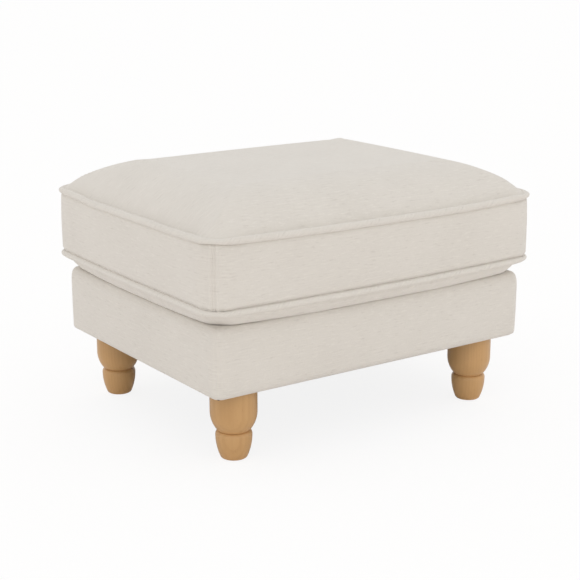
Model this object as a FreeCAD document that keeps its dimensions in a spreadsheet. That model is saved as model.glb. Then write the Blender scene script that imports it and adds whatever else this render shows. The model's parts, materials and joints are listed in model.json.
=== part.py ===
import FreeCAD, Part
import Sketcher
import math
import os

# Upholstered footstool, in millimetres. +X runs along the long side, -Y is the front and +Z is up.
# The origin is on the floor, under the middle of the stool.

doc = FreeCAD.newDocument("footstool")
sheet = doc.addObject("Spreadsheet::Sheet", "Sizes")

DRIVING_SIZES = {
    # The whole stool, to the outer line of the cushion's piping
    "overall_length": 700,
    "overall_width": 558,
    # Cushion: plan, seams and fabric
    "cushion_corner_radius": 45,
    "top_piping_height": 393,
    "bottom_piping_height": 275,
    "piping_diameter": 12,
    "piping_cord_diameter": 9.6,
    "fabric_thickness": 1.2,
    # Border: how far its face lies inside the piping's outer line, low, at its fullest, and high
    "border_bottom_inset": 2.6,
    "border_middle_inset": 1.3,
    "border_top_inset": 4.3,
    "border_middle_height": 334,
    "border_top_height": 390.1,
    # Crown of the top panel
    "crown_height": 57.5,
    "crown_reach": 112,
    "crown_cap_inset": 170,
    "crown_cap_rise": 3.2,
    # Underside of the cushion, which tucks in to the deck
    "underside_height": 247.3,
    "tuck_start_inset": 8,
    "tuck_start_height": 268,
    "tuck_end_inset": 38,
    # Zip in the back border
    "zip_height": 334,
    "zip_length": 560,
    "zip_gap": 9,
    "zip_tape_width": 30,
    "zip_tape_thickness": 0.6,
    "zip_tape_depth": 275.4,
    "zip_coil_width": 2.6,
    "zip_coil_thickness": 1.6,
    "slider_length": 16,
    "slider_width": 12,
    "slider_plate": 1.2,
    "slider_clearance": 0.4,
    "slider_rest": 260,
    # Base: plan and heights
    "base_length": 660,
    "base_width": 518,
    "base_corner_radius": 24,
    "base_bottom_height": 125,
    "deck_height": 247,
    "deck_edge_radius": 14,
    "base_hem_radius": 5,
    "deck_cloth_margin": 60,
    "turn_under_length": 300,
    "turn_under_width": 229,
    # Frame
    "frame_length": 642,
    "frame_width": 500,
    "rail_thickness": 22,
    "rail_bottom_height": 127,
    "rail_height": 100,
    "block_length": 90,
    "block_width": 80,
    "block_cut_length": 40,
    "block_cut_width": 30,
    "block_height": 45,
    # Webbing, hessian and dust cover
    "webbing_width": 50,
    "webbing_thickness": 1.5,
    "webbing_long_spacing": 130,
    "webbing_cross_spacing": 140,
    "webbing_end_margin": 3,
    "webbing_ramp": 10,
    "webbing_play": 2,
    "hessian_thickness": 1,
    "dust_cover_length": 640,
    "dust_cover_width": 498,
    "dust_cover_thickness": 0.8,
    # Legs: place of the axes, then radius at each height of the turned profile
    "leg_axis_along": 261.7,
    "leg_axis_across": 202.6,
    "foot_height": 1,
    "foot_radius": 19.5,
    "foot_edge_height": 4,
    "foot_edge_radius": 23.2,
    "foot_curve_radius": 4.5,
    "bead_curve_radius": 95,
    "shoulder_curve_radius": 8,
    "bowl_curve_radius": 50,
    "bead_height": 41.6,
    "bead_radius": 31.1,
    "groove_height": 49.8,
    "groove_radius": 26,
    "bowl_foot_height": 51.6,
    "bowl_foot_radius": 28.6,
    "bowl_height": 84,
    "bowl_radius": 39.9,
    # Leg fixings
    "bolt_radius": 4,
    "bolt_hole_radius": 4.5,
    "bolt_bottom_height": 85,
    "bolt_top_height": 178,
    "nut_barrel_radius": 5.5,
    "nut_barrel_depth": 10,
    "nut_flange_radius": 11,
    "nut_flange_thickness": 1.5,
    "glide_radius": 12,
    "glide_recess": 1.5,
    "glide_nail_radius": 1.5,
    "glide_nail_height": 15,
    # Small fasteners
    "screw_length": 50,
    "screw_radius": 2,
    "screw_head_radius": 4,
    "screw_head_depth": 3,
    "staple_crown": 10,
    "staple_wire": 0.6,
    "staple_leg": 8,
}


def fill_sheet(sizes):
    """Writes each driving size into its own row, with its name beside it as the cell's alias."""
    for row, (name, number) in enumerate(sizes.items(), start=1):
        sheet.set(f"A{row}", name)
        sheet.set(f"B{row}", str(number))
        sheet.setAlias(f"B{row}", name)
    doc.recompute()


class Size:
    """A length: its number for a first drawing, and the expression that ties it to the sheet."""

    def __init__(self, number, text):
        self.number = number
        self.text = text

    def joined(self, sign, number, other):
        return Size(number, f"({self.text} {sign} {other.text})")

    def __add__(self, other):
        other = as_size(other)
        return self.joined("+", self.number + other.number, other)

    def __sub__(self, other):
        other = as_size(other)
        return self.joined("-", self.number - other.number, other)

    def __mul__(self, other):
        other = as_size(other)
        return self.joined("*", self.number * other.number, other)

    def __truediv__(self, other):
        other = as_size(other)
        return self.joined("/", self.number / other.number, other)

    def __neg__(self):
        return as_size(-1) * self

    def __rmul__(self, other):
        return as_size(other) * self

    def __radd__(self, other):
        return as_size(other) + self

    def __rsub__(self, other):
        return as_size(other) - self


def as_size(value):
    return value if isinstance(value, Size) else Size(value, f"({value:.6g})")


def cell(name):
    """The size that the sheet holds under this name."""
    return Size(float(sheet.get(name)), f"Sizes.{name}")


# Drawing helpers


def origin_plane(body, role):
    return next(plane for plane in body.Origin.OriginFeatures if plane.Role == role)


def new_body(name):
    body = doc.addObject("PartDesign::Body", name)
    body.Label = name
    return body


def new_sketch(body, name, role="XY_Plane", offset=None):
    """A sketch on one of the body's own origin planes, moved along that plane's normal by offset."""
    sketch = body.newObject("Sketcher::SketchObject", name)
    sketch.AttachmentSupport = [(origin_plane(body, role), "")]
    sketch.MapMode = "FlatFace"
    if offset is not None:
        sketch.AttachmentOffset.Base.z = offset.number
        sketch.setExpression("AttachmentOffset.Base.z", offset.text)
    return sketch


def constrain(sketch, kind, *places, size=None):
    """Adds a constraint, bound to its size where it has one."""
    if size is None:
        return sketch.addConstraint(Sketcher.Constraint(kind, *places))
    index = sketch.addConstraint(Sketcher.Constraint(kind, *places, size.number))
    name = f"size_{index}"
    sketch.renameConstraint(index, name)
    sketch.setExpression(f"Constraints.{name}", size.text)
    return index


def draw_rounded_rectangle(sketch, length, width, radius):
    """A rectangle about the sketch's origin, with four equal round corners."""
    x = length.number / 2
    y = width.number / 2
    r = radius.number
    flat = FreeCAD.Vector
    corners = [(x - r, r - y, -0.5), (x - r, y - r, 0), (r - x, y - r, 0.5), (r - x, r - y, 1)]
    runs = [
        (flat(r - x, -y, 0), flat(x - r, -y, 0)),
        (flat(x, r - y, 0), flat(x, y - r, 0)),
        (flat(x - r, y, 0), flat(r - x, y, 0)),
        (flat(-x, y - r, 0), flat(-x, r - y, 0)),
    ]
    for start, end in runs:
        sketch.addGeometry(Part.LineSegment(start, end))
    for centre_x, centre_y, turn in corners:
        circle = Part.Circle(flat(centre_x, centre_y, 0), flat(0, 0, 1), r)
        sketch.addGeometry(Part.ArcOfCircle(circle, turn * math.pi, (turn + 0.5) * math.pi))
    for side in range(4):
        corner = 4 + side
        constrain(sketch, "Tangent", side, 2, corner, 1)
        constrain(sketch, "Tangent", corner, 2, (side + 1) % 4, 1)
    constrain(sketch, "Horizontal", 0)
    constrain(sketch, "Vertical", 1)
    constrain(sketch, "Horizontal", 2)
    constrain(sketch, "Vertical", 3)
    for corner in (5, 6, 7):
        constrain(sketch, "Equal", 4, corner)
    constrain(sketch, "Symmetric", 0, 1, 2, 1, -1, 1)
    constrain(sketch, "DistanceX", 3, 1, 1, 1, size=length)
    constrain(sketch, "DistanceY", 0, 1, 2, 1, size=width)
    constrain(sketch, "Radius", 4, size=radius)


def arc_between(start, end, radius):
    """The arc from start to end, bulging right of the walk for a positive radius, left for a negative one."""
    along = end - start
    half = along.Length / 2
    turned = FreeCAD.Vector(-along.y, along.x, 0).normalize()
    reach = math.sqrt(radius * radius - half * half)
    centre = start + along * 0.5 + turned * math.copysign(reach, radius)
    circle = Part.Circle(centre, FreeCAD.Vector(0, 0, 1), abs(radius))
    first, last = (start, end) if radius > 0 else (end, start)
    angles = [math.atan2((point - centre).y, (point - centre).x) for point in (first, last)]
    return Part.ArcOfCircle(circle, angles[0], angles[1])


def draw_outline(sketch, corners):
    """A closed outline. Each corner is (across, up), or (across, up, radius) where an arc leaves it."""
    points = [FreeCAD.Vector(corner[0].number, corner[1].number, 0) for corner in corners]
    ends = []
    for index, corner in enumerate(corners):
        start = points[index]
        end = points[(index + 1) % len(points)]
        if len(corner) == 2:
            piece = sketch.addGeometry(Part.LineSegment(start, end))
            ends.append((piece, 1, 2))
            continue
        piece = sketch.addGeometry(arc_between(start, end, corner[2].number))
        ends.append((piece, 1, 2) if corner[2].number > 0 else (piece, 2, 1))
    for index, (piece, start, end) in enumerate(ends):
        following, following_start, _ = ends[(index + 1) % len(ends)]
        constrain(sketch, "Coincident", piece, end, following, following_start)
    for (piece, start, _), corner in zip(ends, corners):
        across, up = corner[0], corner[1]
        if across.number == 0:
            constrain(sketch, "PointOnObject", piece, start, -2)
        else:
            constrain(sketch, "DistanceX", -1, 1, piece, start, size=across)
        if up.number == 0:
            constrain(sketch, "PointOnObject", piece, start, -1)
        else:
            constrain(sketch, "DistanceY", -1, 1, piece, start, size=up)
        if len(corner) == 3:
            radius = corner[2] if corner[2].number > 0 else -corner[2]
            constrain(sketch, "Radius", piece, size=radius)


def draw_circle(sketch, across, up, radius):
    circle = Part.Circle(FreeCAD.Vector(across.number, up.number, 0), FreeCAD.Vector(0, 0, 1), radius.number)
    piece = sketch.addGeometry(circle)
    constrain(sketch, "Radius", piece, size=radius)
    if across.number == 0:
        constrain(sketch, "PointOnObject", piece, 3, -2)
    else:
        constrain(sketch, "DistanceX", -1, 1, piece, 3, size=across)
    if up.number == 0:
        constrain(sketch, "PointOnObject", piece, 3, -1)
    else:
        constrain(sketch, "DistanceY", -1, 1, piece, 3, size=up)


# Feature helpers


def set_size(feature, name, size):
    setattr(feature, name, size.number)
    feature.setExpression(name, size.text)


def add_pad(body, sketch, length, symmetric=False):
    pad = body.newObject("PartDesign::Pad", f"{body.Name}_pad")
    pad.Profile = sketch
    pad.Type = "Length"
    set_size(pad, "Length", length)
    if symmetric:
        pad.SideType = "Symmetric"
    return pad


def add_pocket(body, sketch, depth, upwards):
    """Cuts from the sketch's plane, up along its normal or down against it."""
    pocket = body.newObject("PartDesign::Pocket", f"{body.Name}_pocket")
    pocket.Profile = sketch
    pocket.Type = "Length"
    pocket.Reversed = upwards
    set_size(pocket, "Length", depth)
    return pocket


def add_loft(body, sketches):
    loft = body.newObject("PartDesign::AdditiveLoft", f"{body.Name}_loft")
    loft.Profile = sketches[0]
    loft.Sections = sketches[1:]
    loft.Ruled = False
    loft.Closed = False
    return loft


def add_revolution(body, sketch):
    """Turns a sketch on the XZ plane once about the body's Z axis."""
    turned = body.newObject("PartDesign::Revolution", f"{body.Name}_turned")
    turned.Profile = sketch
    turned.ReferenceAxis = (sketch, ["V_Axis"])
    turned.Angle = 360
    return turned


def make_box(name, corner, lengths):
    """A box from its lowest corner and its three lengths."""
    box = doc.addObject("Part::Box", name)
    for side, size in zip(("Length", "Width", "Height"), lengths):
        set_size(box, side, size)
    place(box, *corner)
    return box


def place(thing, x, y, z):
    thing.Placement = FreeCAD.Placement(FreeCAD.Vector(x.number, y.number, z.number), FreeCAD.Rotation())
    for letter, size in zip("xyz", (x, y, z)):
        thing.setExpression(f"Placement.Base.{letter}", size.text)


def cut(name, base, tool):
    result = doc.addObject("Part::Cut", name)
    result.Base = base
    result.Tool = tool
    return result


def common(name, base, tool):
    result = doc.addObject("Part::Common", name)
    result.Base = base
    result.Tool = tool
    return result


def group_of_copies(name, master, placements):
    """One sub-part that holds a separate solid for each placement of the master."""
    doc.recompute()
    group = doc.addObject("Part::Feature", name)
    group.Shape = Part.makeCompound([master.Shape.transformed(where.toMatrix()) for where in placements])
    return group


sub_parts = []


def keep(piece, solids=1):
    """Marks an object as a sub-part that is written to its own file, with its number of solids."""
    piece.Label = piece.Name
    sub_parts.append((piece, solids))
    return piece


fill_sheet(DRIVING_SIZES)

NOTHING = as_size(0)
SIDES = (-1, 1)
fabric = cell("fabric_thickness")

# Cushion: forms that its pieces are cut from. Each is a loft through rounded rectangles.


def cushion_section(body, index, inset, height, radius):
    sketch = new_sketch(body, f"{body.Name}_section_{index}", offset=height)
    length = cell("overall_length") - 2 * inset
    width = cell("overall_width") - 2 * inset
    draw_rounded_rectangle(sketch, length, width, radius)
    return sketch


def cushion_loft(name, levels):
    """A closed form through levels, each an inset from the outline, a height and a corner radius."""
    body = new_body(name)
    sections = [cushion_section(body, index, *level) for index, level in enumerate(levels)]
    add_loft(body, sections)
    return body


def border_form(name, skin):
    levels = []
    for inset_name, height in (
        ("border_bottom_inset", cell("bottom_piping_height")),
        ("border_middle_inset", cell("border_middle_height")),
        ("border_top_inset", cell("border_top_height")),
    ):
        inset = cell(inset_name) + skin
        levels.append((inset, height, cell("cushion_corner_radius") - inset))
    return cushion_loft(name, levels)


CROWN_STEPS = (0.08, 0.2, 0.4, 0.65, 1)
CROWN_CORNER_GROWTH = 0.38


def crown_share(step):
    """How much of the crown's height is reached at this share of the way in from the edge."""
    return (1 - (1 - step) ** 1.66) ** 1.13


def crown_form(name, skin):
    edge_inset = cell("border_top_inset") + skin
    edge_radius = cell("cushion_corner_radius") - edge_inset
    edge_height = cell("border_top_height")
    levels = [(edge_inset, edge_height, edge_radius)]
    for step in CROWN_STEPS:
        inset = step * cell("crown_reach")
        height = edge_height + crown_share(step) * cell("crown_height") - skin
        levels.append((inset, height, edge_radius + CROWN_CORNER_GROWTH * (inset - edge_inset)))
    cap_inset = cell("crown_cap_inset")
    cap_height = edge_height + cell("crown_height") + cell("crown_cap_rise") - skin
    levels.append((cap_inset, cap_height, edge_radius + CROWN_CORNER_GROWTH * (cap_inset - edge_inset)))
    return cushion_loft(name, levels)


TUCK_STEPS = (0, 0.2, 0.45, 0.7, 1)


def underside_form(name, skin):
    edge_inset = cell("border_bottom_inset") + skin
    levels = [(edge_inset, cell("bottom_piping_height"), cell("cushion_corner_radius") - edge_inset)]
    for step in TUCK_STEPS:
        inset = cell("tuck_start_inset") + step * (cell("tuck_end_inset") - cell("tuck_start_inset"))
        drop = cell("tuck_start_height") - cell("underside_height")
        height = cell("underside_height") + (1 - step) ** 1.5 * drop + skin
        levels.append((inset, height, cell("cushion_corner_radius") - 0.5 * inset))
    return cushion_loft(name, levels)


crown_outside = crown_form("crown_outside", NOTHING)
crown_inside = crown_form("crown_inside", fabric)
border_outside = border_form("border_outside", NOTHING)
border_inside = border_form("border_inside", fabric)
underside_outside = underside_form("underside_outside", NOTHING)
underside_inside = underside_form("underside_inside", fabric)

# Piping: a cord in a sewn fabric tube, round the top edge and round the bottom edge


def piping_ring(name, height, radius):
    """A round bar that follows the cushion's outline, with its outer line on that outline."""
    body = new_body(name)
    inset = cell("piping_diameter") / 2
    path = new_sketch(body, f"{name}_path", offset=height)
    length = cell("overall_length") - 2 * inset
    width = cell("overall_width") - 2 * inset
    draw_rounded_rectangle(path, length, width, cell("cushion_corner_radius") - inset)
    profile = new_sketch(body, f"{name}_profile", role="XZ_Plane")
    draw_circle(profile, cell("overall_length") / 2 - inset, height, radius)
    doc.recompute()
    pipe = body.newObject("PartDesign::AdditivePipe", f"{name}_pipe")
    pipe.Profile = profile
    pipe.Spine = (path, [f"Edge{number + 1}" for number in range(len(path.Shape.Edges))])
    return body


def piping(edge):
    height = cell(f"{edge}_piping_height")
    bar = piping_ring(f"{edge}_piping_bar", height, cell("piping_diameter") / 2)
    cord = piping_ring(f"piping_cord_{edge}", height, cell("piping_cord_diameter") / 2)
    keep(cord)
    keep(cut(f"piping_{edge}", bar, cord))
    return bar


top_bar = piping("top")
bottom_bar = piping("bottom")

# Wedges that part the four sides along the corners' diagonals, for the border and for the base cover

WEDGE_BOTTOM = 100
WEDGE_TOP = 420
WEDGE_MARGIN = 20


def side_wedges():
    """A prism over each side, bounded by the lines at 45 degrees through the corners."""
    apex = (cell("overall_length") - cell("overall_width")) / 2
    far_x = cell("overall_length") / 2 + WEDGE_MARGIN
    far_y = cell("overall_width") / 2 + WEDGE_MARGIN
    outlines = {
        "front": [(-far_x, -far_y), (far_x, -far_y), (apex, NOTHING), (-apex, NOTHING)],
        "back": [(far_x, far_y), (-far_x, far_y), (-apex, NOTHING), (apex, NOTHING)],
        "left": [(-far_x, far_y), (-far_x, -far_y), (-apex, NOTHING)],
        "right": [(far_x, -far_y), (far_x, far_y), (apex, NOTHING)],
    }
    wedges = {}
    for side, corners in outlines.items():
        body = new_body(f"wedge_{side}")
        sketch = new_sketch(body, f"wedge_{side}_outline", offset=as_size(WEDGE_BOTTOM))
        draw_outline(sketch, corners)
        add_pad(body, sketch, as_size(WEDGE_TOP - WEDGE_BOTTOM))
        wedges[side] = body
    return wedges


wedges = side_wedges()

# Cushion: foam slab, fibre above and below, and the sewn cover


def zip_recess():
    """The room that the zip's tape presses into the foam behind the back border."""
    length = cell("zip_length") + 20
    height = cell("zip_tape_width") + 4
    depth = cell("zip_tape_depth") - 0.4
    corner = (-length / 2, depth, cell("zip_height") - height / 2)
    return make_box("zip_recess", corner, (length, as_size(10), height))


def cushion_filling():
    foam = cut("foam_under_top_piping", border_inside, top_bar)
    foam = cut("foam_between_pipings", foam, bottom_bar)
    keep(cut("cushion_foam", foam, zip_recess()))
    keep(cut("cushion_fibre_top", crown_inside, top_bar))
    keep(cut("cushion_fibre_bottom", underside_inside, bottom_bar))


def cushion_panels():
    top = cut("top_panel_uncut", crown_outside, crown_inside)
    keep(cut("cushion_top_panel", top, top_bar))
    bottom = cut("bottom_panel_uncut", underside_outside, underside_inside)
    keep(cut("cushion_bottom_panel", bottom, bottom_bar))


def cushion_border():
    """Strips round the cushion, joined at the corners. The back one is two, with the zip between."""
    ring = cut("border_ring", border_outside, border_inside)
    ring = cut("border_below_top_piping", ring, top_bar)
    ring = cut("border_between_pipings", ring, bottom_bar)
    for side in ("front", "left", "right"):
        keep(common(f"border_{side}", ring, wedges[side]))
    back = common("border_back", ring, wedges["back"])
    length = cell("overall_length") + 2 * WEDGE_MARGIN
    width = cell("overall_width") / 2 + WEDGE_MARGIN
    middle = cell("zip_height")
    slot_length = cell("zip_length") - 12
    slot_corner = (-slot_length / 2, width / 2, middle - cell("zip_gap") / 2)
    slot = make_box("zip_slot", slot_corner, (slot_length, width, cell("zip_gap")))
    back = cut("border_back_slotted", back, slot)
    bottom = cell("bottom_piping_height")
    upper_size = (length, width, cell("top_piping_height") - middle)
    upper = make_box("back_above_zip", (-length / 2, NOTHING, middle), upper_size)
    lower = make_box("back_below_zip", (-length / 2, NOTHING, bottom), (length, width, middle - bottom))
    keep(common("border_back_upper", back, upper))
    keep(common("border_back_lower", back, lower))


cushion_filling()
cushion_panels()
cushion_border()

# Zip: tape, coils, end stops, slider and pull


def zip_chain():
    length = cell("zip_length")
    tape_width = cell("zip_tape_width")
    tape_depth = cell("zip_tape_depth")
    tape_thickness = cell("zip_tape_thickness")
    tape_corner = (-length / 2, tape_depth, cell("zip_height") - tape_width / 2)
    keep(make_box("zip_tape", tape_corner, (length, tape_thickness, tape_width)))
    coil_width = cell("zip_coil_width")
    face = tape_depth + tape_thickness
    coil_size = (length - 20, cell("zip_coil_thickness"), coil_width)
    coils = doc.addObject("Part::Compound", "zip_coils")
    coils.Links = [
        make_box("zip_coil_lower", (10 - length / 2, face, cell("zip_height") - coil_width), coil_size),
        make_box("zip_coil_upper", (10 - length / 2, face, cell("zip_height")), coil_size),
    ]
    keep(coils, solids=2)
    stops = doc.addObject("Part::Compound", "zip_end_stops")
    stop_size = (as_size(2), cell("zip_coil_thickness"), 2 * coil_width)
    stop_height = cell("zip_height") - coil_width
    stops.Links = [
        make_box("zip_stop_open_end", (length / 2 - 10, face, stop_height), stop_size),
        make_box("zip_stop_closed_end", (8 - length / 2, face, stop_height), stop_size),
    ]
    keep(stops, solids=2)


BAIL_AXIS_RISE = 1.9
BAIL_OUTER_RADIUS = 2.6
BAIL_INNER_RADIUS = 1.2
BAIL_WIDTH = 3
PULL_BAR_RADIUS = 0.7


def slider_face():
    """How far back the slider's plate begins, just clear of the border's fullest line."""
    return cell("overall_width") / 2 - cell("border_middle_inset") + cell("slider_clearance")


def zip_slider():
    """A plate over the coils with a rail beyond each coil and a bail that holds the pull."""
    face = slider_face()
    plate = cell("slider_plate")
    length = cell("slider_length")
    width = cell("slider_width")
    centre = cell("slider_rest")
    coil_edge = cell("zip_coil_width") + 0.5
    rail_depth = cell("zip_tape_depth") + cell("zip_tape_thickness") + 0.3
    body = new_body("slider_body")
    outline = new_sketch(body, "slider_outline", role="YZ_Plane", offset=centre)
    top = cell("zip_height") + width / 2
    low = cell("zip_height") - width / 2
    rail_top = cell("zip_height") + coil_edge
    rail_low = cell("zip_height") - coil_edge
    draw_outline(
        outline,
        [
            (face + plate, low),
            (face + plate, top),
            (face, top),
            (face, rail_top + 1),
            (rail_depth, rail_top + 1),
            (rail_depth, rail_top),
            (face, rail_top),
            (face, rail_low),
            (rail_depth, rail_low),
            (rail_depth, rail_low - 1),
            (face, rail_low - 1),
            (face, low),
        ],
    )
    add_pad(body, outline, length, symmetric=True)
    axis = face + plate + BAIL_AXIS_RISE
    bail = new_body("slider_bail")
    arch = new_sketch(bail, "slider_arch", offset=cell("zip_height"))
    reach = as_size(BAIL_OUTER_RADIUS)
    foot = face + plate
    draw_outline(
        arch,
        [
            (centre - reach, foot),
            (centre + reach, foot),
            (centre + reach, axis, reach + 0.001),
            (centre - reach, axis),
        ],
    )
    add_pad(bail, arch, as_size(BAIL_WIDTH), symmetric=True)
    doc.recompute()
    hole = new_sketch(bail, "slider_arch_hole", offset=cell("zip_height") - BAIL_WIDTH)
    draw_circle(hole, centre, axis, as_size(BAIL_INNER_RADIUS))
    add_pocket(bail, hole, as_size(2 * BAIL_WIDTH), upwards=True)
    slider = doc.addObject("Part::Fuse", "zip_slider")
    slider.Base = body
    slider.Tool = bail
    keep(slider)


PULL_LENGTH = 24
PULL_WIDTH = 7
PULL_THICKNESS = 1.4
PULL_WINDOW = 6


def zip_pull():
    """A flat tab with a window for the bail and a round bar that turns inside it."""
    centre = cell("slider_rest")
    axis = slider_face() + cell("slider_plate") + BAIL_AXIS_RISE
    height = cell("zip_height")
    tab = new_body("pull_tab")
    outline = new_sketch(tab, "pull_outline", role="XZ_Plane", offset=-(axis + PULL_THICKNESS / 2))
    half = as_size(PULL_WIDTH / 2)
    end = centre - PULL_LENGTH
    draw_outline(
        outline,
        [
            (centre, height - half),
            (centre, height + half),
            (end, height + half, half + 0.001),
            (end, height - half),
        ],
    )
    add_pad(tab, outline, as_size(PULL_THICKNESS))
    window = make_box(
        "pull_window",
        (centre - PULL_WINDOW, axis - PULL_THICKNESS, height - 2),
        (as_size(PULL_WINDOW), as_size(2 * PULL_THICKNESS), as_size(4)),
    )
    bar = doc.addObject("Part::Cylinder", "pull_bar")
    set_size(bar, "Radius", as_size(PULL_BAR_RADIUS))
    set_size(bar, "Height", as_size(PULL_WIDTH))
    place(bar, centre, axis, height - PULL_WIDTH / 2)
    pull = doc.addObject("Part::Fuse", "zip_pull")
    pull.Base = cut("pull_tab_open", tab, window)
    pull.Tool = bar
    keep(pull)


zip_chain()
zip_slider()
zip_pull()

# Base frame: rails, corner blocks and their screws

half_frame_length = cell("frame_length") / 2
half_frame_width = cell("frame_width") / 2
rail = cell("rail_thickness")
rail_bottom = cell("rail_bottom_height")
rail_top = rail_bottom + cell("rail_height")


def frame_rails():
    long_size = (cell("frame_length"), rail, cell("rail_height"))
    short_size = (rail, cell("frame_width") - 2 * rail, cell("rail_height"))
    inner_width = half_frame_width - rail
    keep(make_box("rail_front", (-half_frame_length, -half_frame_width, rail_bottom), long_size))
    keep(make_box("rail_back", (-half_frame_length, inner_width, rail_bottom), long_size))
    keep(make_box("rail_left", (-half_frame_length, -inner_width, rail_bottom), short_size))
    keep(make_box("rail_right", (half_frame_length - rail, -inner_width, rail_bottom), short_size))


CORNERS = {
    "front_left": (-1, -1),
    "front_right": (1, -1),
    "back_left": (-1, 1),
    "back_right": (1, 1),
}


def corner_block(corner, side_x, side_y):
    """A block in the frame's corner, drilled for the leg bolt and counterbored for its tee nut."""
    name = f"corner_block_{corner}"
    body = new_body(name)
    x = half_frame_length - rail
    y = half_frame_width - rail
    near_x = x - cell("block_length")
    near_y = y - cell("block_width")
    corners = [
        (side_x * near_x, side_y * y),
        (side_x * x, side_y * y),
        (side_x * x, side_y * near_y),
        (side_x * (near_x + cell("block_cut_length")), side_y * near_y),
        (side_x * near_x, side_y * (near_y + cell("block_cut_width"))),
    ]
    outline = new_sketch(body, f"{name}_outline", offset=rail_bottom)
    draw_outline(outline, corners)
    add_pad(body, outline, cell("block_height"))
    doc.recompute()
    top = rail_bottom + cell("block_height")
    leg_x = side_x * cell("leg_axis_along")
    leg_y = side_y * cell("leg_axis_across")
    bolt_hole = new_sketch(body, f"{name}_bolt_hole", offset=top)
    draw_circle(bolt_hole, leg_x, leg_y, cell("bolt_hole_radius"))
    add_pocket(body, bolt_hole, cell("block_height"), upwards=False)
    nut_seat = new_sketch(body, f"{name}_nut_seat", offset=top)
    draw_circle(nut_seat, leg_x, leg_y, cell("nut_barrel_radius"))
    add_pocket(body, nut_seat, cell("nut_barrel_depth"), upwards=False)
    keep(body)


SCREW_PLACES_LONG_RAIL = (225, 285)
SCREW_PLACES_SHORT_RAIL = (165, 213)
SCREW_HEIGHT_LONG_RAIL = 140
SCREW_HEIGHT_SHORT_RAIL = 160


def countersunk_screw():
    """A screw along +Z, with its head's face at the origin."""
    body = new_body("screw")
    sketch = new_sketch(body, "screw_profile", role="XZ_Plane")
    length = cell("screw_length")
    shank = cell("screw_radius")
    draw_outline(
        sketch,
        [
            (NOTHING, NOTHING),
            (cell("screw_head_radius"), NOTHING),
            (shank, cell("screw_head_depth")),
            (shank, length - 6),
            (NOTHING, length),
        ],
    )
    add_revolution(body, sketch)
    return body


def block_screws():
    """Screws through each rail end into its corner block."""
    vector = FreeCAD.Vector
    up = vector(0, 0, 1)
    placements = []
    for side_x, side_y in CORNERS.values():
        for x in SCREW_PLACES_LONG_RAIL:
            place_at = vector(side_x * x, side_y * half_frame_width.number, SCREW_HEIGHT_LONG_RAIL)
            placements.append(FreeCAD.Placement(place_at, FreeCAD.Rotation(up, vector(0, -side_y, 0))))
        for y in SCREW_PLACES_SHORT_RAIL:
            place_at = vector(side_x * half_frame_length.number, side_y * y, SCREW_HEIGHT_SHORT_RAIL)
            placements.append(FreeCAD.Placement(place_at, FreeCAD.Rotation(up, vector(-side_x, 0, 0))))
    keep(group_of_copies("block_screws", countersunk_screw(), placements), solids=len(placements))


frame_rails()
for corner_name, corner_sides in CORNERS.items():
    corner_block(corner_name, *corner_sides)
block_screws()

# Deck: woven webbing, hessian, foam and cloth

LONG_STRIPS = 3
CROSS_STRIPS = 4


def strip_places(count, spacing):
    return [(number - (count - 1) / 2) * spacing for number in range(count)]


def woven_strip(name, role, half_length, crossings, shift_x, shift_y):
    """A strip that lies on the rails and rises one thickness over each crossing in the list."""
    thickness = cell("webbing_thickness")
    flat = cell("webbing_width") / 2 + cell("webbing_play")
    ramp = cell("webbing_ramp")
    lower = [(-half_length, rail_top)]
    for crossing in crossings:
        lower.append((crossing - flat - ramp, rail_top))
        lower.append((crossing - flat, rail_top + thickness))
        lower.append((crossing + flat, rail_top + thickness))
        lower.append((crossing + flat + ramp, rail_top))
    lower.append((half_length, rail_top))
    upper = [(across, up + thickness) for across, up in reversed(lower)]
    body = new_body(name)
    sketch = new_sketch(body, f"{name}_side", role=role)
    draw_outline(sketch, lower + upper)
    add_pad(body, sketch, cell("webbing_width"), symmetric=True)
    place(body, shift_x, shift_y, NOTHING)
    keep(body)


def webbing():
    long_places = strip_places(LONG_STRIPS, cell("webbing_long_spacing"))
    cross_places = strip_places(CROSS_STRIPS, cell("webbing_cross_spacing"))
    margin = cell("webbing_end_margin")
    for number, y in enumerate(long_places):
        over = [x for index, x in enumerate(cross_places) if (number + index) % 2 == 0]
        name = f"webbing_long_{number + 1}"
        woven_strip(name, "XZ_Plane", half_frame_length - margin, over, NOTHING, y)
    for number, x in enumerate(cross_places):
        over = [y for index, y in enumerate(long_places) if (number + index) % 2 == 1]
        name = f"webbing_cross_{number + 1}"
        woven_strip(name, "YZ_Plane", half_frame_width - margin, over, x, NOTHING)


def edges_at(shape, height):
    """The names of the edges that lie wholly at this height."""
    names = []
    for number, edge in enumerate(shape.Edges, start=1):
        box = edge.BoundBox
        if abs(box.ZMin - height) < 0.01 and abs(box.ZMax - height) < 0.01:
            names.append(f"Edge{number}")
    return names


def base_form(name, skin):
    """The upholstered base's block, with a rounded deck edge and a small rounding at the hem."""
    body = new_body(name)
    bottom = cell("base_bottom_height") + cell("dust_cover_thickness") + skin
    top = cell("deck_height") - skin
    outline = new_sketch(body, f"{name}_outline", offset=bottom)
    length = cell("base_length") - 2 * skin
    width = cell("base_width") - 2 * skin
    draw_rounded_rectangle(outline, length, width, cell("base_corner_radius") - skin)
    rounded = add_pad(body, outline, top - bottom)
    for edge, height, radius in (
        ("deck", top, cell("deck_edge_radius") - skin),
        ("hem", bottom, cell("base_hem_radius") - skin),
    ):
        doc.recompute()
        edges = edges_at(rounded.Shape, height.number)
        fillet = body.newObject("PartDesign::Fillet", f"{name}_{edge}_edge")
        fillet.Base = (rounded, edges)
        set_size(fillet, "Radius", radius)
        rounded = fillet
    return body


def hessian_sheet():
    height = rail_top + 2 * cell("webbing_thickness")
    corner = (-half_frame_length, -half_frame_width, height)
    keep(make_box("hessian", corner, (cell("frame_length"), cell("frame_width"), cell("hessian_thickness"))))


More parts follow.
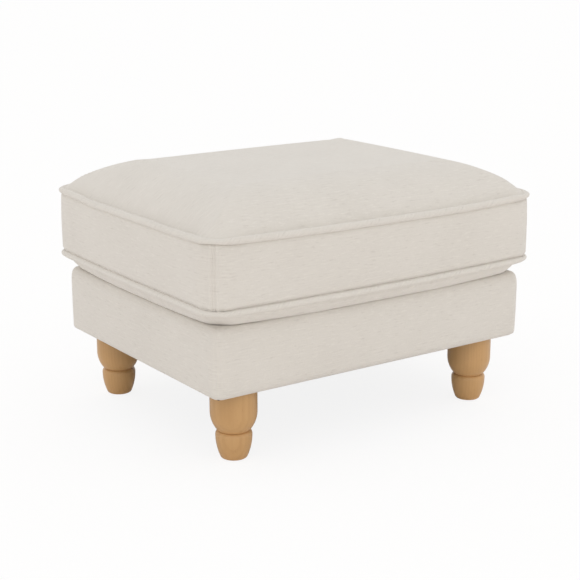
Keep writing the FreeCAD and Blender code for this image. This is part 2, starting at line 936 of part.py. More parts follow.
def base_padding_and_foam(inside):
    """Deck foam above the hessian, and a strip of padding outside each rail."""
    top = rail_top + 2 * cell("webbing_thickness") + cell("hessian_thickness")
    length = cell("base_length")
    width = cell("base_width")
    deck_height = cell("deck_height") - top
    above = make_box("room_above_hessian", (-length / 2, -width / 2, top), (length, width, deck_height))
    keep(common("deck_foam", inside, above))
    sides = cut("padding_below_deck", inside, above)
    frame_corner = (-half_frame_length, -half_frame_width, rail_bottom - 10)
    frame_room = make_box("frame_room", frame_corner, (cell("frame_length"), cell("frame_width"), as_size(150)))
    ring = cut("padding_ring", sides, frame_room)
    for side, wedge in wedges.items():
        keep(common(f"padding_{side}", ring, wedge))


def base_covers(outside, inside):
    """A cloth on the deck, and four covers that turn over its edge and under the rails."""
    skin_all = cut("base_skin", outside, inside)
    half_length = cell("base_length") / 2 - cell("deck_cloth_margin")
    half_width = cell("base_width") / 2 - cell("deck_cloth_margin")
    deck_level = cell("deck_height") - 10
    deck_room = make_box(
        "deck_cloth_room",
        (-half_length, -half_width, deck_level),
        (2 * half_length, 2 * half_width, as_size(20)),
    )
    keep(common("deck_cloth", skin_all, deck_room))
    window_length = cell("turn_under_length")
    window_width = cell("turn_under_width")
    window = make_box(
        "turn_under_window",
        (-window_length, -window_width, cell("base_bottom_height")),
        (2 * window_length, 2 * window_width, as_size(10)),
    )
    sides = cut("side_covers_open_top", skin_all, deck_room)
    sides = cut("side_covers", sides, window)
    for side, wedge in wedges.items():
        keep(common(f"base_cover_{side}", sides, wedge))


webbing()
hessian_sheet()
base_outside = base_form("base_outside", NOTHING)
base_inside = base_form("base_inside", fabric)
base_padding_and_foam(base_inside)
base_covers(base_outside, base_inside)

# Underneath: dust cover and staples

STAPLES_LONG_RAIL = 9
STAPLES_SHORT_RAIL = 7
STAPLE_SPACING_LONG = 55
STAPLE_SPACING_SHORT = 50


def dust_cover():
    """A thin sheet under the frame, with a hole for each leg bolt."""
    body = new_body("dust_cover")
    outline = new_sketch(body, "dust_cover_outline", offset=cell("base_bottom_height"))
    draw_rounded_rectangle(outline, cell("dust_cover_length"), cell("dust_cover_width"), as_size(12))
    add_pad(body, outline, cell("dust_cover_thickness"))
    doc.recompute()
    holes = new_sketch(body, "dust_cover_holes", offset=cell("base_bottom_height"))
    for side_x, side_y in CORNERS.values():
        x = side_x * cell("leg_axis_along")
        y = side_y * cell("leg_axis_across")
        draw_circle(holes, x, y, cell("bolt_hole_radius"))
    add_pocket(body, holes, cell("dust_cover_thickness"), upwards=True)
    keep(body)


def staple():
    """A staple with its crown along X, its crown's top at the origin and its legs up."""
    body = new_body("staple")
    sketch = new_sketch(body, "staple_outline", role="XZ_Plane")
    half = cell("staple_crown") / 2
    wire = cell("staple_wire")
    leg = cell("staple_leg")
    draw_outline(
        sketch,
        [
            (-half, -wire),
            (half, -wire),
            (half, leg),
            (half - wire, leg),
            (half - wire, NOTHING),
            (wire - half, NOTHING),
            (wire - half, leg),
            (-half, leg),
        ],
    )
    add_pad(body, sketch, 2 * wire, symmetric=True)
    return body


def staples():
    vector = FreeCAD.Vector
    height = cell("base_bottom_height").number
    rail_middle_y = (half_frame_width - rail / 2).number
    rail_middle_x = (half_frame_length - rail / 2).number
    turned = FreeCAD.Rotation(vector(0, 0, 1), 90)
    placements = []
    for side in SIDES:
        for x in strip_places(STAPLES_LONG_RAIL, STAPLE_SPACING_LONG):
            placements.append(FreeCAD.Placement(vector(x, side * rail_middle_y, height), FreeCAD.Rotation()))
        for y in strip_places(STAPLES_SHORT_RAIL, STAPLE_SPACING_SHORT):
            placements.append(FreeCAD.Placement(vector(side * rail_middle_x, y, height), turned))
    keep(group_of_copies("staples", staple(), placements), solids=len(placements))


dust_cover()
staples()

# Legs: turned wood, each on a hanger bolt and with a glide nailed under it


def leg(corner, side_x, side_y):
    """The turned profile, from the foot up: foot, bead, groove and bowl, with the bolt and nail holes."""
    name = f"leg_{corner}"
    body = new_body(name)
    sketch = new_sketch(body, f"{name}_profile", role="XZ_Plane")
    foot = cell("foot_height")
    recess_top = foot + cell("glide_recess")
    leg_top = cell("base_bottom_height")
    draw_outline(
        sketch,
        [
            (cell("glide_radius"), foot),
            (cell("foot_radius"), foot, cell("foot_curve_radius")),
            (cell("foot_edge_radius"), cell("foot_edge_height"), cell("bead_curve_radius")),
            (cell("bead_radius"), cell("bead_height"), cell("shoulder_curve_radius")),
            (cell("groove_radius"), cell("groove_height")),
            (cell("bowl_foot_radius"), cell("bowl_foot_height"), cell("bowl_curve_radius")),
            (cell("bowl_radius"), cell("bowl_height")),
            (cell("bowl_radius"), leg_top),
            (cell("bolt_radius"), leg_top),
            (cell("bolt_radius"), cell("bolt_bottom_height")),
            (NOTHING, cell("bolt_bottom_height")),
            (NOTHING, cell("glide_nail_height")),
            (cell("glide_nail_radius"), cell("glide_nail_height")),
            (cell("glide_nail_radius"), recess_top),
            (cell("glide_radius"), recess_top),
        ],
    )
    add_revolution(body, sketch)
    place(body, side_x * cell("leg_axis_along"), side_y * cell("leg_axis_across"), NOTHING)
    keep(body)


def turned_master(name, corners):
    body = new_body(name)
    sketch = new_sketch(body, f"{name}_profile", role="XZ_Plane")
    draw_outline(sketch, corners)
    add_revolution(body, sketch)
    return body


def at_every_leg():
    x = cell("leg_axis_along").number
    y = cell("leg_axis_across").number
    return [
        FreeCAD.Placement(FreeCAD.Vector(side_x * x, side_y * y, 0), FreeCAD.Rotation())
        for side_x, side_y in CORNERS.values()
    ]


def leg_fixings():
    block_top = rail_bottom + cell("block_height")
    bolt = cell("bolt_radius")
    bolt_corners = [
        (NOTHING, cell("bolt_bottom_height")),
        (bolt, cell("bolt_bottom_height")),
        (bolt, cell("bolt_top_height")),
        (NOTHING, cell("bolt_top_height")),
    ]
    barrel = cell("nut_barrel_radius")
    flange = cell("nut_flange_radius")
    flange_top = block_top + cell("nut_flange_thickness")
    nut_corners = [
        (bolt, block_top - cell("nut_barrel_depth")),
        (barrel, block_top - cell("nut_barrel_depth")),
        (barrel, block_top),
        (flange, block_top),
        (flange, flange_top),
        (bolt, flange_top),
    ]
    foot = cell("foot_height")
    recess_top = foot + cell("glide_recess")
    nail = cell("glide_nail_radius")
    glide = cell("glide_radius")
    glide_corners = [
        (NOTHING, NOTHING),
        (glide - foot, NOTHING),
        (glide, foot),
        (glide, recess_top),
        (nail, recess_top),
        (nail, cell("glide_nail_height")),
        (NOTHING, cell("glide_nail_height")),
    ]
    for name, master_name, corners in (
        ("hanger_bolts", "hanger_bolt", bolt_corners),
        ("tee_nuts", "tee_nut", nut_corners),
        ("leg_glides", "leg_glide", glide_corners),
    ):
        keep(group_of_copies(name, turned_master(master_name, corners), at_every_leg()), solids=4)


for corner_name, corner_sides in CORNERS.items():
    leg(corner_name, *corner_sides)
leg_fixings()


def check_everything():
    """Stops with a plain message if an object failed or a sub-part isn't the solids that it should be."""
    doc.recompute()
    faults = []
    for thing in doc.Objects:
        if "Invalid" in thing.State or "Error" in thing.State:
            faults.append(f"{thing.Name} is in state {thing.State}")
    for piece, solids in sub_parts:
        shape = piece.Shape
        if shape.isNull() or not shape.isValid():
            faults.append(f"{piece.Label} has no valid shape")
        elif len(shape.Solids) != solids:
            faults.append(f"{piece.Label} has {len(shape.Solids)} solids, not {solids}")
    labels = [piece.Label for piece, _ in sub_parts]
    if len(set(labels)) != len(labels):
        faults.append("two sub-parts share a label")
    if faults:
        raise RuntimeError("; ".join(faults))


def write_parts():
    os.makedirs("parts", exist_ok=True)
    whole = FreeCAD.BoundBox()
    for piece, solids in sub_parts:
        piece.Shape.exportStep(f"parts/{piece.Label}.step")
        whole.add(piece.Shape.optimalBoundingBox())
        volume = piece.Shape.Volume / 1e6
        print(f"{piece.Label}: {solids} solid(s), {len(piece.Shape.Faces)} faces, {volume:.4f} litres")
    print(f"{len(sub_parts)} sub-parts, {whole.XLength:.1f} x {whole.YLength:.1f} x {whole.ZLength:.1f} mm")


check_everything()
write_parts()
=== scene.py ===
# %% [markdown]
# # An upholstered footstool
#
# A loose box cushion with piped seams lies on a padded base that stands on four turned legs. The
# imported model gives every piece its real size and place. This lesson dresses it: first the camera
# and the light, then the cloths, then the stuffed forms, their covers, the piping and the zip, and
# at last the timber, the legs and the small fittings. All lengths are in metres.

import json
import math

import bmesh
import bpy
import numpy as np
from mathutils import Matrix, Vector


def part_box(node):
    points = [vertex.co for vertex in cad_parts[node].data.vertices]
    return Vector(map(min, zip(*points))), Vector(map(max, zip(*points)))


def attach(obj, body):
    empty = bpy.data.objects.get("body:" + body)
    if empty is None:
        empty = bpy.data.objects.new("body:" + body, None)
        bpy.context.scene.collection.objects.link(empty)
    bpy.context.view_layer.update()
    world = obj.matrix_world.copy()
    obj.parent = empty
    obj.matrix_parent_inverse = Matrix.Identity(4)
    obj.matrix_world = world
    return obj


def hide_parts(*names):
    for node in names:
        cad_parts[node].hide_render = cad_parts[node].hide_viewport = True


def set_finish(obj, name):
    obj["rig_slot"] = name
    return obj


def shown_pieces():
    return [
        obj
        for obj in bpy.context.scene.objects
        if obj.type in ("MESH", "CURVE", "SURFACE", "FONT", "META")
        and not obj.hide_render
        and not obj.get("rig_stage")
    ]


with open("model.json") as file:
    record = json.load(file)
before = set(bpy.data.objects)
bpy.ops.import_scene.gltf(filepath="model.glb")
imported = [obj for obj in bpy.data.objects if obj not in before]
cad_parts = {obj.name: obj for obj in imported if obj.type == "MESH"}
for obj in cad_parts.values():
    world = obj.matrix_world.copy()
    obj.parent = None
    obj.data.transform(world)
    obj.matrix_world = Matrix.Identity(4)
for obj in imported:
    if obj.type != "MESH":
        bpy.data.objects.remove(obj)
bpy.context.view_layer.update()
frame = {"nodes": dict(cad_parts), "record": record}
print("nodes to dress:", len(frame["nodes"]))

# %% [markdown]
# ## The camera
#
# The footstool is seen from a little above, with its left front corner towards us. The camera's
# place, direction and lens were worked out from the corners of the cushion and the base and from
# the feet, so a long lens from two and a half metres keeps the far edges nearly parallel. A camera
# that is aimed by its own yaw and pitch is easier to check than one that tracks a target.

# %% Camera
CAMERA_PLACE = Vector((-1.4109, -2.0098, 0.8618))
CAMERA_YAW = math.radians(34.95)
CAMERA_PITCH = math.radians(15.02)
LENS_MM = 84.64
PICTURE_WIDTH = 580
SHIFT_PIXELS = (0.28, 1.28)

bpy.ops.object.select_all(action="DESELECT")
bpy.ops.object.camera_add(location=CAMERA_PLACE)
camera = bpy.context.object
camera.name = "camera"
camera.rotation_euler = (math.pi / 2 - CAMERA_PITCH, 0, -CAMERA_YAW)
camera.data.lens = LENS_MM
camera.data.sensor_width = 36
camera.data.shift_x = SHIFT_PIXELS[0] / PICTURE_WIDTH
camera.data.shift_y = SHIFT_PIXELS[1] / PICTURE_WIDTH
bpy.context.scene.camera = camera
print("camera at", tuple(round(c, 3) for c in camera.location))

# %% [markdown]
# ## Floor, backdrop and light
#
# The footstool stands in a bright white studio with light from all round, as in a light tent. The
# world gives that even light. A large soft lamp high on the left gives the forms a little
# direction, and a small low one in front reaches the legs under the base. The camera sees plain
# white: Light Path tells the world and the floor when a camera, a reflection or a clear material is
# looking, and only then do they answer with white. The floor is a faintly warm paper, and it still
# takes the soft shadow under the footstool. World, floor and materials are all made of nodes, so
# one function adds a node, sets it and fills its inputs.


# %% Floor, backdrop and light
def feed(tree, socket, value):
    """Links another node's output to this input, or sets a plain value there."""
    value = getattr(value, "socket", value)
    if isinstance(value, bpy.types.NodeSocket):
        tree.links.new(value, socket)
    else:
        socket.default_value = value


def add_node(tree, kind, settings=None, inputs=None):
    """Adds a node, sets it and fills its inputs, which go by name or number."""
    node = tree.nodes.new(kind)
    for setting, value in (settings or {}).items():
        setattr(node, setting, value)
    for socket, value in (inputs or {}).items():
        feed(tree, node.inputs[socket], value)
    return node


DOME_STRENGTH = 0.96
LAMPS = {
    "high_lamp": ((-2.2, -2.6, 3.2), 2.6, 9),
    "low_lamp": ((0.6, -3.0, 0.5), 1.4, 2),
}
LAMP_TARGET = Vector((0, 0, 0.2))
FLOOR_WHITENESS = 0.86
FLOOR_COLOUR = (0.98, 0.955, 0.94, 1)

world = bpy.data.worlds.new("white_studio")
bpy.context.scene.world = world
world.use_nodes = True
sky = world.node_tree
rays = add_node(sky, "ShaderNodeLightPath").outputs
seen_plain = rays["Is Camera Ray"]
for ray in ("Is Glossy Ray", "Is Transmission Ray"):
    either = {0: seen_plain, 1: rays[ray]}
    greater = add_node(sky, "ShaderNodeMath", {"operation": "MAXIMUM"}, either)
    seen_plain = greater.outputs[0]
span = {"Value": seen_plain, "To Min": DOME_STRENGTH, "To Max": 1.0}
strength = add_node(sky, "ShaderNodeMapRange", {}, span)
feed(sky, sky.nodes["Background"].inputs["Color"], (1, 1, 1, 1))
feed(sky, sky.nodes["Background"].inputs["Strength"], strength.outputs[0])

for name, (place, size, watts) in LAMPS.items():
    bpy.ops.object.select_all(action="DESELECT")
    bpy.ops.object.light_add(type="AREA", location=place)
    lamp = bpy.context.object
    lamp.name = name
    lamp.data.energy = watts
    lamp.data.size = size
    lamp.rotation_euler = (LAMP_TARGET - Vector(place)).to_track_quat("-Z", "Y").to_euler()

bpy.ops.object.select_all(action="DESELECT")
bpy.ops.mesh.primitive_plane_add(size=40, location=(0, 0, 0))
floor = bpy.context.object
floor.name = "floor"
paper = bpy.data.materials.new("white_floor")
paper.use_nodes = True
tree = paper.node_tree
matt = tree.nodes["Principled BSDF"]
feed(tree, matt.inputs["Base Color"], FLOOR_COLOUR)
feed(tree, matt.inputs["Roughness"], 1.0)
feed(tree, matt.inputs["Specular IOR Level"], 0.0)
white = add_node(tree, "ShaderNodeEmission", {}, {"Strength": 1.0})
looked_at = add_node(tree, "ShaderNodeLightPath").outputs["Is Camera Ray"]
share = {0: looked_at, 1: FLOOR_WHITENESS}
whiteness = add_node(tree, "ShaderNodeMath", {"operation": "MULTIPLY"}, share)
layers = {0: whiteness.outputs[0], 1: matt.outputs[0], 2: white.outputs[0]}
floor_mix = add_node(tree, "ShaderNodeMixShader", {}, layers)
feed(tree, tree.nodes["Material Output"].inputs["Surface"], floor_mix.outputs[0])
floor.data.materials.append(paper)
floor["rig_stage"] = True
bpy.context.scene.view_settings.view_transform = "Standard"
print("lamps:", ", ".join(LAMPS), "under a dome of", DOME_STRENGTH)

# %% [markdown]
# ## Small tools
#
# Modelling by hand is a round of the same few moves: open a piece, pick some of its faces, cut it
# along a plane, finish it with a modifier. Each move gets a short function here, so that the cells
# that follow read like the work at the bench. Everything is deselected first, because an operator
# acts on all that is selected.


# %% Tools for picking and cutting
SLIVER = 0.00015


def choose(piece):
    """Makes this piece the only selected one, and the active one."""
    if bpy.context.mode != "OBJECT":
        bpy.ops.object.mode_set(mode="OBJECT")
    bpy.ops.object.select_all(action="DESELECT")
    piece.select_set(True)
    bpy.context.view_layer.objects.active = piece


def named(name):
    """The piece that an operator has just made, with this name on it and on its mesh."""
    piece = bpy.context.object
    piece.name = name
    piece.data.name = name
    return piece


def pick(piece, kind, test):
    """Opens the piece and selects the VERT, EDGE or FACE elements whose middle passes the test."""
    choose(piece)
    bpy.ops.object.mode_set(mode="EDIT")
    bpy.ops.mesh.select_mode(type=kind)
    bpy.ops.mesh.select_all(action="DESELECT")
    mesh = bmesh.from_edit_mesh(piece.data)
    for element in {"VERT": mesh.verts, "EDGE": mesh.edges, "FACE": mesh.faces}[kind]:
        if kind == "VERT":
            middle = element.co
        elif kind == "EDGE":
            middle = (element.verts[0].co + element.verts[1].co) / 2
        else:
            middle = element.calc_center_median()
        if test(middle, element):
            element.select_set(True)
    mesh.select_flush_mode()
    bmesh.update_edit_mesh(piece.data)


def close():
    """Goes back from edit mode to object mode."""
    bpy.ops.object.mode_set(mode="OBJECT")


def bevel_edges(piece, test, offset, segments):
    """Rounds the edges that pass the test."""
    pick(piece, "EDGE", test)
    bpy.ops.mesh.bevel(offset=offset, segments=segments, affect="EDGES")
    close()


def cut(piece, place, normal, drop="none", fill=False):
    """Cuts the whole piece along a plane and may drop the part in front of or behind the plane."""
    choose(piece)
    bpy.ops.object.mode_set(mode="EDIT")
    bpy.ops.mesh.select_all(action="SELECT")
    bpy.ops.mesh.bisect(
        plane_co=place,
        plane_no=normal,
        use_fill=fill,
        clear_outer=drop == "front",
        clear_inner=drop == "behind",
        threshold=1e-6,
    )
    bpy.ops.mesh.select_all(action="SELECT")
    bpy.ops.mesh.remove_doubles(threshold=SLIVER)
    close()


def cut_level(piece, height, drop="none", fill=False):
    """A level cut. What lies above it is in front of it, and what lies below is behind."""
    cut(piece, (0, 0, height), (0, 0, 1), drop, fill)


def drop_faces(piece, test):
    """Deletes the faces whose middle passes the test."""
    pick(piece, "FACE", test)
    bpy.ops.mesh.delete(type="FACE")
    close()


def add_block(name, low, high):
    """A box between two corners."""
    low = Vector(low)
    high = Vector(high)
    bpy.ops.object.select_all(action="DESELECT")
    bpy.ops.mesh.primitive_cube_add(size=1, location=(low + high) / 2, scale=high - low)
    bpy.ops.object.transform_apply(location=True, rotation=True, scale=True)
    return named(name)


def copy_of(piece, name):
    """A copy with its own mesh."""
    choose(piece)
    bpy.ops.object.duplicate(linked=False)
    return named(name)


def apply_modifier(piece, kind, **settings):
    """Adds a modifier, sets it and applies it."""
    choose(piece)
    modifier = piece.modifiers.new(kind.title(), kind)
    for setting, value in settings.items():
        setattr(modifier, setting, value)
    bpy.ops.object.modifier_apply(modifier=modifier.name)


def points_of(piece, kind="co"):
    """The piece's points as rows of x, y and z, or for "normal" the way the surface faces there."""
    flat = np.empty(len(piece.data.vertices) * 3)
    piece.data.vertices.foreach_get(kind, flat)
    return flat.reshape(-1, 3)


def set_points(piece, points):
    """Puts the piece's points in these places."""
    piece.data.vertices.foreach_set("co", np.asarray(points, float).ravel())
    piece.data.update()


def smooth(piece, angle=180):
    """Shades the piece smooth, apart from edges that are sharper than the angle."""
    choose(piece)
    bpy.ops.object.shade_smooth_by_angle(angle=math.radians(angle))


print("tools ready")

# %% [markdown]
# ## Sizes that the cloth pieces share
#
# Seen from above, the cushion, its piping and the base are rectangles with rounded corners. Two
# functions describe them: one gives how far a point lies inside such an outline, and the other how
# far along the outline it is. The first shapes the stuffing, and the second runs the weave of a
# strip along the strip, as cloth is cut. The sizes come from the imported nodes.


# %% Shared sizes and outlines
def middle_z(node):
    """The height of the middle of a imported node."""
    low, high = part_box(node)
    return (low.z + high.z) / 2


cushion_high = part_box("piping_top")[1]
base_low, base_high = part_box("base_cover_front")

CUSHION_HALF = (cushion_high.x, cushion_high.y)
CUSHION_CORNER = 0.045
CUSHION = (CUSHION_HALF, CUSHION_CORNER)
PIPING_RADIUS = 0.0063
TOP_PIPING_Z = middle_z("piping_top")
BOTTOM_PIPING_Z = middle_z("piping_bottom")
TOP_SEAM_Z = TOP_PIPING_Z - 0.003
BOTTOM_SEAM_Z = BOTTOM_PIPING_Z + 0.0005
DECK_Z = base_high.z
HEM_Z = base_low.z
BASE_HALF = (-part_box("base_cover_left")[0].x, -base_low.y)
BASE_CORNER = 0.016
BASE = (BASE_HALF, BASE_CORNER)
DECK_ROUND = 0.014
CLOTH = 0.0012
WAVES = 6
SAG_CURVE = 2.4


def depth_inside(points, half, corner):
    """How far each point lies inside a rounded rectangle, seen from above."""
    beyond_x = np.abs(points[:, 0]) - (half[0] - corner)
    beyond_y = np.abs(points[:, 1]) - (half[1] - corner)
    outside = np.hypot(np.maximum(beyond_x, 0), np.maximum(beyond_y, 0))
    return corner - outside - np.minimum(np.maximum(beyond_x, beyond_y), 0)


def length_around(points, half, corner):
    """How far along the outline each point is, clockwise from the middle of the back."""
    flat_x = half[0] - corner
    flat_y = half[1] - corner
    bend = corner * math.pi / 2
    x = points[:, 0]
    y = points[:, 1]
    beyond_x = np.abs(x) - flat_x
    beyond_y = np.abs(y) - flat_y
    turn = np.arctan2(np.maximum(beyond_x, 0), np.maximum(beyond_y, 1e-9)) * corner
    on_long_side = (beyond_y > beyond_x) & (beyond_x <= 0)
    on_short_side = (beyond_x >= beyond_y) & (beyond_y <= 0)
    quarter = np.where(
        on_long_side,
        np.abs(x),
        np.where(on_short_side, flat_x + bend + (flat_y - np.abs(y)), flat_x + turn),
    )
    half_way = flat_x + bend + flat_y
    from_middle = np.where(y >= 0, quarter, 2 * half_way - quarter)
    return np.where(x >= 0, from_middle, 4 * half_way - from_middle)


def ripple(points, length, seed):
    """A soft unevenness between about -1 and 1, with waves of about this length."""
    draw = np.random.default_rng(seed)
    total = np.zeros(len(points))
    for _ in range(WAVES):
        direction = draw.normal(size=3)
        direction /= np.linalg.norm(direction)
        wave = length * draw.uniform(0.7, 1.5)
        total += np.sin(points @ direction * (2 * math.pi / wave) + draw.uniform(0, 6.28))
    return total / math.sqrt(WAVES)


def between_corners(points, half, long_amount, short_amount):
    """An amount that is greatest half-way along each side and nothing at the corners."""
    from_short = np.maximum(half[0] - np.abs(points[:, 0]), 1e-4)
    from_long = np.maximum(half[1] - np.abs(points[:, 1]), 1e-4)
    beside_long = from_short**2 / (from_short**2 + from_long**2)
    along_long = np.minimum(np.abs(points[:, 0]) / half[0], 1)
    along_short = np.minimum(np.abs(points[:, 1]) / half[1], 1)
    on_long = long_amount * (1 - along_long**SAG_CURVE)
    on_short = short_amount * (1 - along_short**SAG_CURVE)
    return beside_long * on_long + (1 - beside_long) * on_short


def ease(values, start, end):
    """Climbs smoothly from 0 at start to 1 at end."""
    share = np.clip((values - start) / (end - start), 0, 1)
    return share * share * (3 - 2 * share)


def widen(points, amount, half):
    """Scales points outwards, so that a side of this outline moves by the amount."""
    points[:, 0] *= 1 + amount / half[0]
    points[:, 1] *= 1 + amount / half[1]


for name, half in (("cushion", CUSHION_HALF), ("base", BASE_HALF)):
    print(name, "is", [round(2 * h, 4) for h in half])

# %% [markdown]
# ## Writing materials as sums
#
# Cloth and wood are patterns worked out from a point's place, and such a pattern is a sum. A small
# class wraps a node's output and takes part in ordinary arithmetic, so that `1 - mask * 0.4` adds
# the Math nodes by itself. Every other node comes from one method that takes the node's type, its
# settings and what goes into its inputs.


# %% Sums of sockets
class Value:
    """One number or colour that a material works out, ready for arithmetic."""

    def __init__(self, recipe, socket):
        self.recipe = recipe
        self.socket = socket

    def __add__(self, other):
        return self.recipe.maths("ADD", self, other)

    def __radd__(self, other):
        return self.recipe.maths("ADD", other, self)

    def __sub__(self, other):
        return self.recipe.maths("SUBTRACT", self, other)

    def __rsub__(self, other):
        return self.recipe.maths("SUBTRACT", other, self)

    def __mul__(self, other):
        return self.recipe.maths("MULTIPLY", self, other)

    def __rmul__(self, other):
        return self.recipe.maths("MULTIPLY", other, self)

    def __truediv__(self, other):
        return self.recipe.maths("DIVIDE", self, other)

    def __pow__(self, other):
        return self.recipe.maths("POWER", self, other)


class Recipe:
    """A material under way. Its finish is the constants of its Principled shader."""

    def __init__(self, name, **finish):
        self.material = bpy.data.materials.new(name)
        self.material.use_nodes = True
        self.tree = self.material.node_tree
        self.shader = self.tree.nodes["Principled BSDF"]
        for socket, value in finish.items():
            self.shader.inputs[socket.replace("_", " ")].default_value = value

    def node(self, kind, settings=None, inputs=None, output=0):
        """Adds a node and returns one of its outputs, by name or number."""
        return Value(self, add_node(self.tree, kind, settings, inputs).outputs[output])

    def maths(self, operation, *terms):
        """One Math node."""
        return self.node("ShaderNodeMath", {"operation": operation}, dict(enumerate(terms)))

    def blend(self, share, first, second):
        """A mix of two colours."""
        colours = {0: share, 6: (*first, 1), 7: (*second, 1)}
        return self.node("ShaderNodeMix", {"data_type": "RGBA"}, colours, output=2)

    def here(self):
        """The point being shaded, in the piece's own metres."""
        return self.node("ShaderNodeTexCoord", output="Object")

    def parts(self, vector):
        """The x, y and z of a vector."""
        outputs = add_node(self.tree, "ShaderNodeSeparateXYZ", {}, {0: vector}).outputs
        return [Value(self, output) for output in outputs]

    def speckle(self, vector, scale, detail=2.0, roughness=0.5):
        """Soft noise between 0 and 1."""
        inputs = {"Vector": vector, "Scale": scale, "Detail": detail, "Roughness": roughness}
        return self.node("ShaderNodeTexNoise", {}, inputs)

    def stretch(self, vector, amounts):
        """A vector with each of its parts multiplied by its own amount."""
        return self.node("ShaderNodeVectorMath", {"operation": "MULTIPLY"}, {0: vector, 1: amounts})

    def streaks(self, vector, amounts, detail=2.0, roughness=0.5):
        """Soft noise with its own fineness along each axis."""
        return self.speckle(self.stretch(vector, amounts), 1.0, detail, roughness)

    def waver(self, vector, source, scale, detail, amounts):
        """The vector pushed about by soft noise, so that lines drawn on it waver."""
        inputs = {"Vector": source, "Scale": scale, "Detail": detail}
        push = self.node("ShaderNodeTexNoise", {}, inputs, output="Color")
        terms = {0: push, 1: amounts, 2: vector}
        return self.node("ShaderNodeVectorMath", {"operation": "MULTIPLY_ADD"}, terms)

    def step_up(self, value, low, high):
        """Climbs smoothly from 0 at low to 1 at high."""
        limits = {"Value": value, 1: low, 2: high}
        return self.node("ShaderNodeMapRange", {"interpolation_type": "SMOOTHSTEP"}, limits)

    def finish(self, colour, height, depth, roughness=None, strength=1.0):
        """Feeds the shader and returns the material."""
        feed(self.tree, self.shader.inputs["Base Color"], colour)
        if roughness is not None:
            feed(self.tree, self.shader.inputs["Roughness"], roughness)
        relief = {"Height": height, "Distance": depth, "Strength": strength}
        normal = self.node("ShaderNodeBump", {}, relief)
        feed(self.tree, self.shader.inputs["Normal"], normal)
        return self.material


def tone(red, green, blue):
    """A colour written as a screen shows it, from 0 to 255, in the shader's own linear scale."""
    return tuple(
        (c / 255 / 12.92 if c <= 10 else ((c / 255 + 0.055) / 1.055) ** 2.4)
        for c in (red, green, blue)
    )


# %% [markdown]
# ## Linen-weave cloth
#
# The cover is a plain weave of flax-like yarn in pale oatmeal. What makes it linen is its
# unevenness: each yarn has its own tone, and it swells into slubs here and there along its length.
# The gaps between yarns are darkened a little with painted shade. The pattern reads the map named
# weave, in metres, so that yarns follow each panel as it was cut. Warp yarns run up the strips,
# weft yarns along them, and the slubs show most in the weft.

# %% Linen
YARN_PITCH = 0.0011
YARN_DRIFT = 0.0016


def linen(name, light, dark, slant=False):
    """A plain weave with slubs. Light is the yarn's colour and dark its darker tone, towards which
    the gaps between yarns are drawn as painted shade.
    """
    cloth = Recipe(
        name, Roughness=0.92, Sheen_Weight=0.35, Sheen_Roughness=0.55, Specular_IOR_Level=0.2
    )
    place = cloth.node("ShaderNodeUVMap", {"uv_map": "weave"})
    if slant:
        turned = {"Vector": place, "Rotation": (0, 0, math.pi / 4)}
        place = cloth.node("ShaderNodeMapping", {}, turned)
    push = cloth.waver(place, place, 45.0, 1.0, (YARN_DRIFT, YARN_DRIFT, 0))
    across, up, _ = cloth.parts(push)
    wave_x = cloth.maths("SINE", across / YARN_PITCH * math.pi)
    wave_y = cloth.maths("SINE", up / YARN_PITCH * math.pi)
    weft_on_top = cloth.maths("GREATER_THAN", wave_x * wave_y, 0.0)
    weft_body = cloth.maths("ABSOLUTE", wave_y) ** 0.6
    warp_body = cloth.maths("ABSOLUTE", wave_x) ** 0.6
    height = weft_body * weft_on_top + warp_body * (1 - weft_on_top)

    weft_slub = cloth.streaks(push, (58.0, 330.0, 1.0))
    warp_slub = cloth.streaks(push, (620.0, 120.0, 1.0), 1.0)
    long_yarn = cloth.streaks(push, (22.0, 760.0, 1.0), 1.0)
    cloud = cloth.speckle(place, 9.0, 3.0)
    fibre = cloth.streaks(place, (500.0, 2200.0, 1.0))
    thick = cloth.step_up(weft_slub, 0.57, 0.74)
    thin = cloth.step_up(weft_slub, 0.41, 0.26)
    # The weave's height term paints shade into the gaps between yarns. The slub, yarn, cloud and
    # fibre terms are the cloth's own tone.
    brightness = (
        0.44
        + height * 0.10
        + cloth.step_up(warp_slub, 0.3, 0.7) * 0.06
        + cloth.step_up(long_yarn, 0.3, 0.7) * 0.08
        + cloud * 0.26
        + fibre * 0.06
        + thick * 0.40
        - thin * 0.24
    )
    colour = cloth.blend(cloth.step_up(brightness, 0.0, 1.0), dark, light)
    relief = height * 0.7 + thick * 0.8 + fibre * 0.3
    return cloth.finish(colour, relief, 0.0004, strength=0.6)


# OATMEAL_SHADE is the yarns' darker tone, and also the painted shade in the gaps between them.
OATMEAL = tone(224, 218, 209)
OATMEAL_SHADE = tone(194, 186, 176)
cushion_cloth = linen("cushion_cloth", OATMEAL, OATMEAL_SHADE)
piping_cloth = linen("piping_cloth", OATMEAL, OATMEAL_SHADE, slant=True)
base_cloth = linen("base_cloth", OATMEAL, OATMEAL_SHADE)
print("cloths:", cushion_cloth.name, piping_cloth.name, base_cloth.name)

# %% [markdown]
# ## Wood
#
# The legs are turned from a pale hardwood and have a clear satin lacquer. Turned wood shows its
# growth rings as long cathedral curves on the sides, so the rings are drawn in the solid: distance
# from a pith line that lies outside the leg, stretched along the grain. Over them run fine pores
# and short flecks. The pattern reads Object coordinates, so every leg has a grain of its own.

# %% Wood
RING_GAP = 0.006
PITH = (0.11, 0.05)
GRAIN_TURN = {"z": (0, 0, 0), "x": (0, math.pi / 2, 0)}


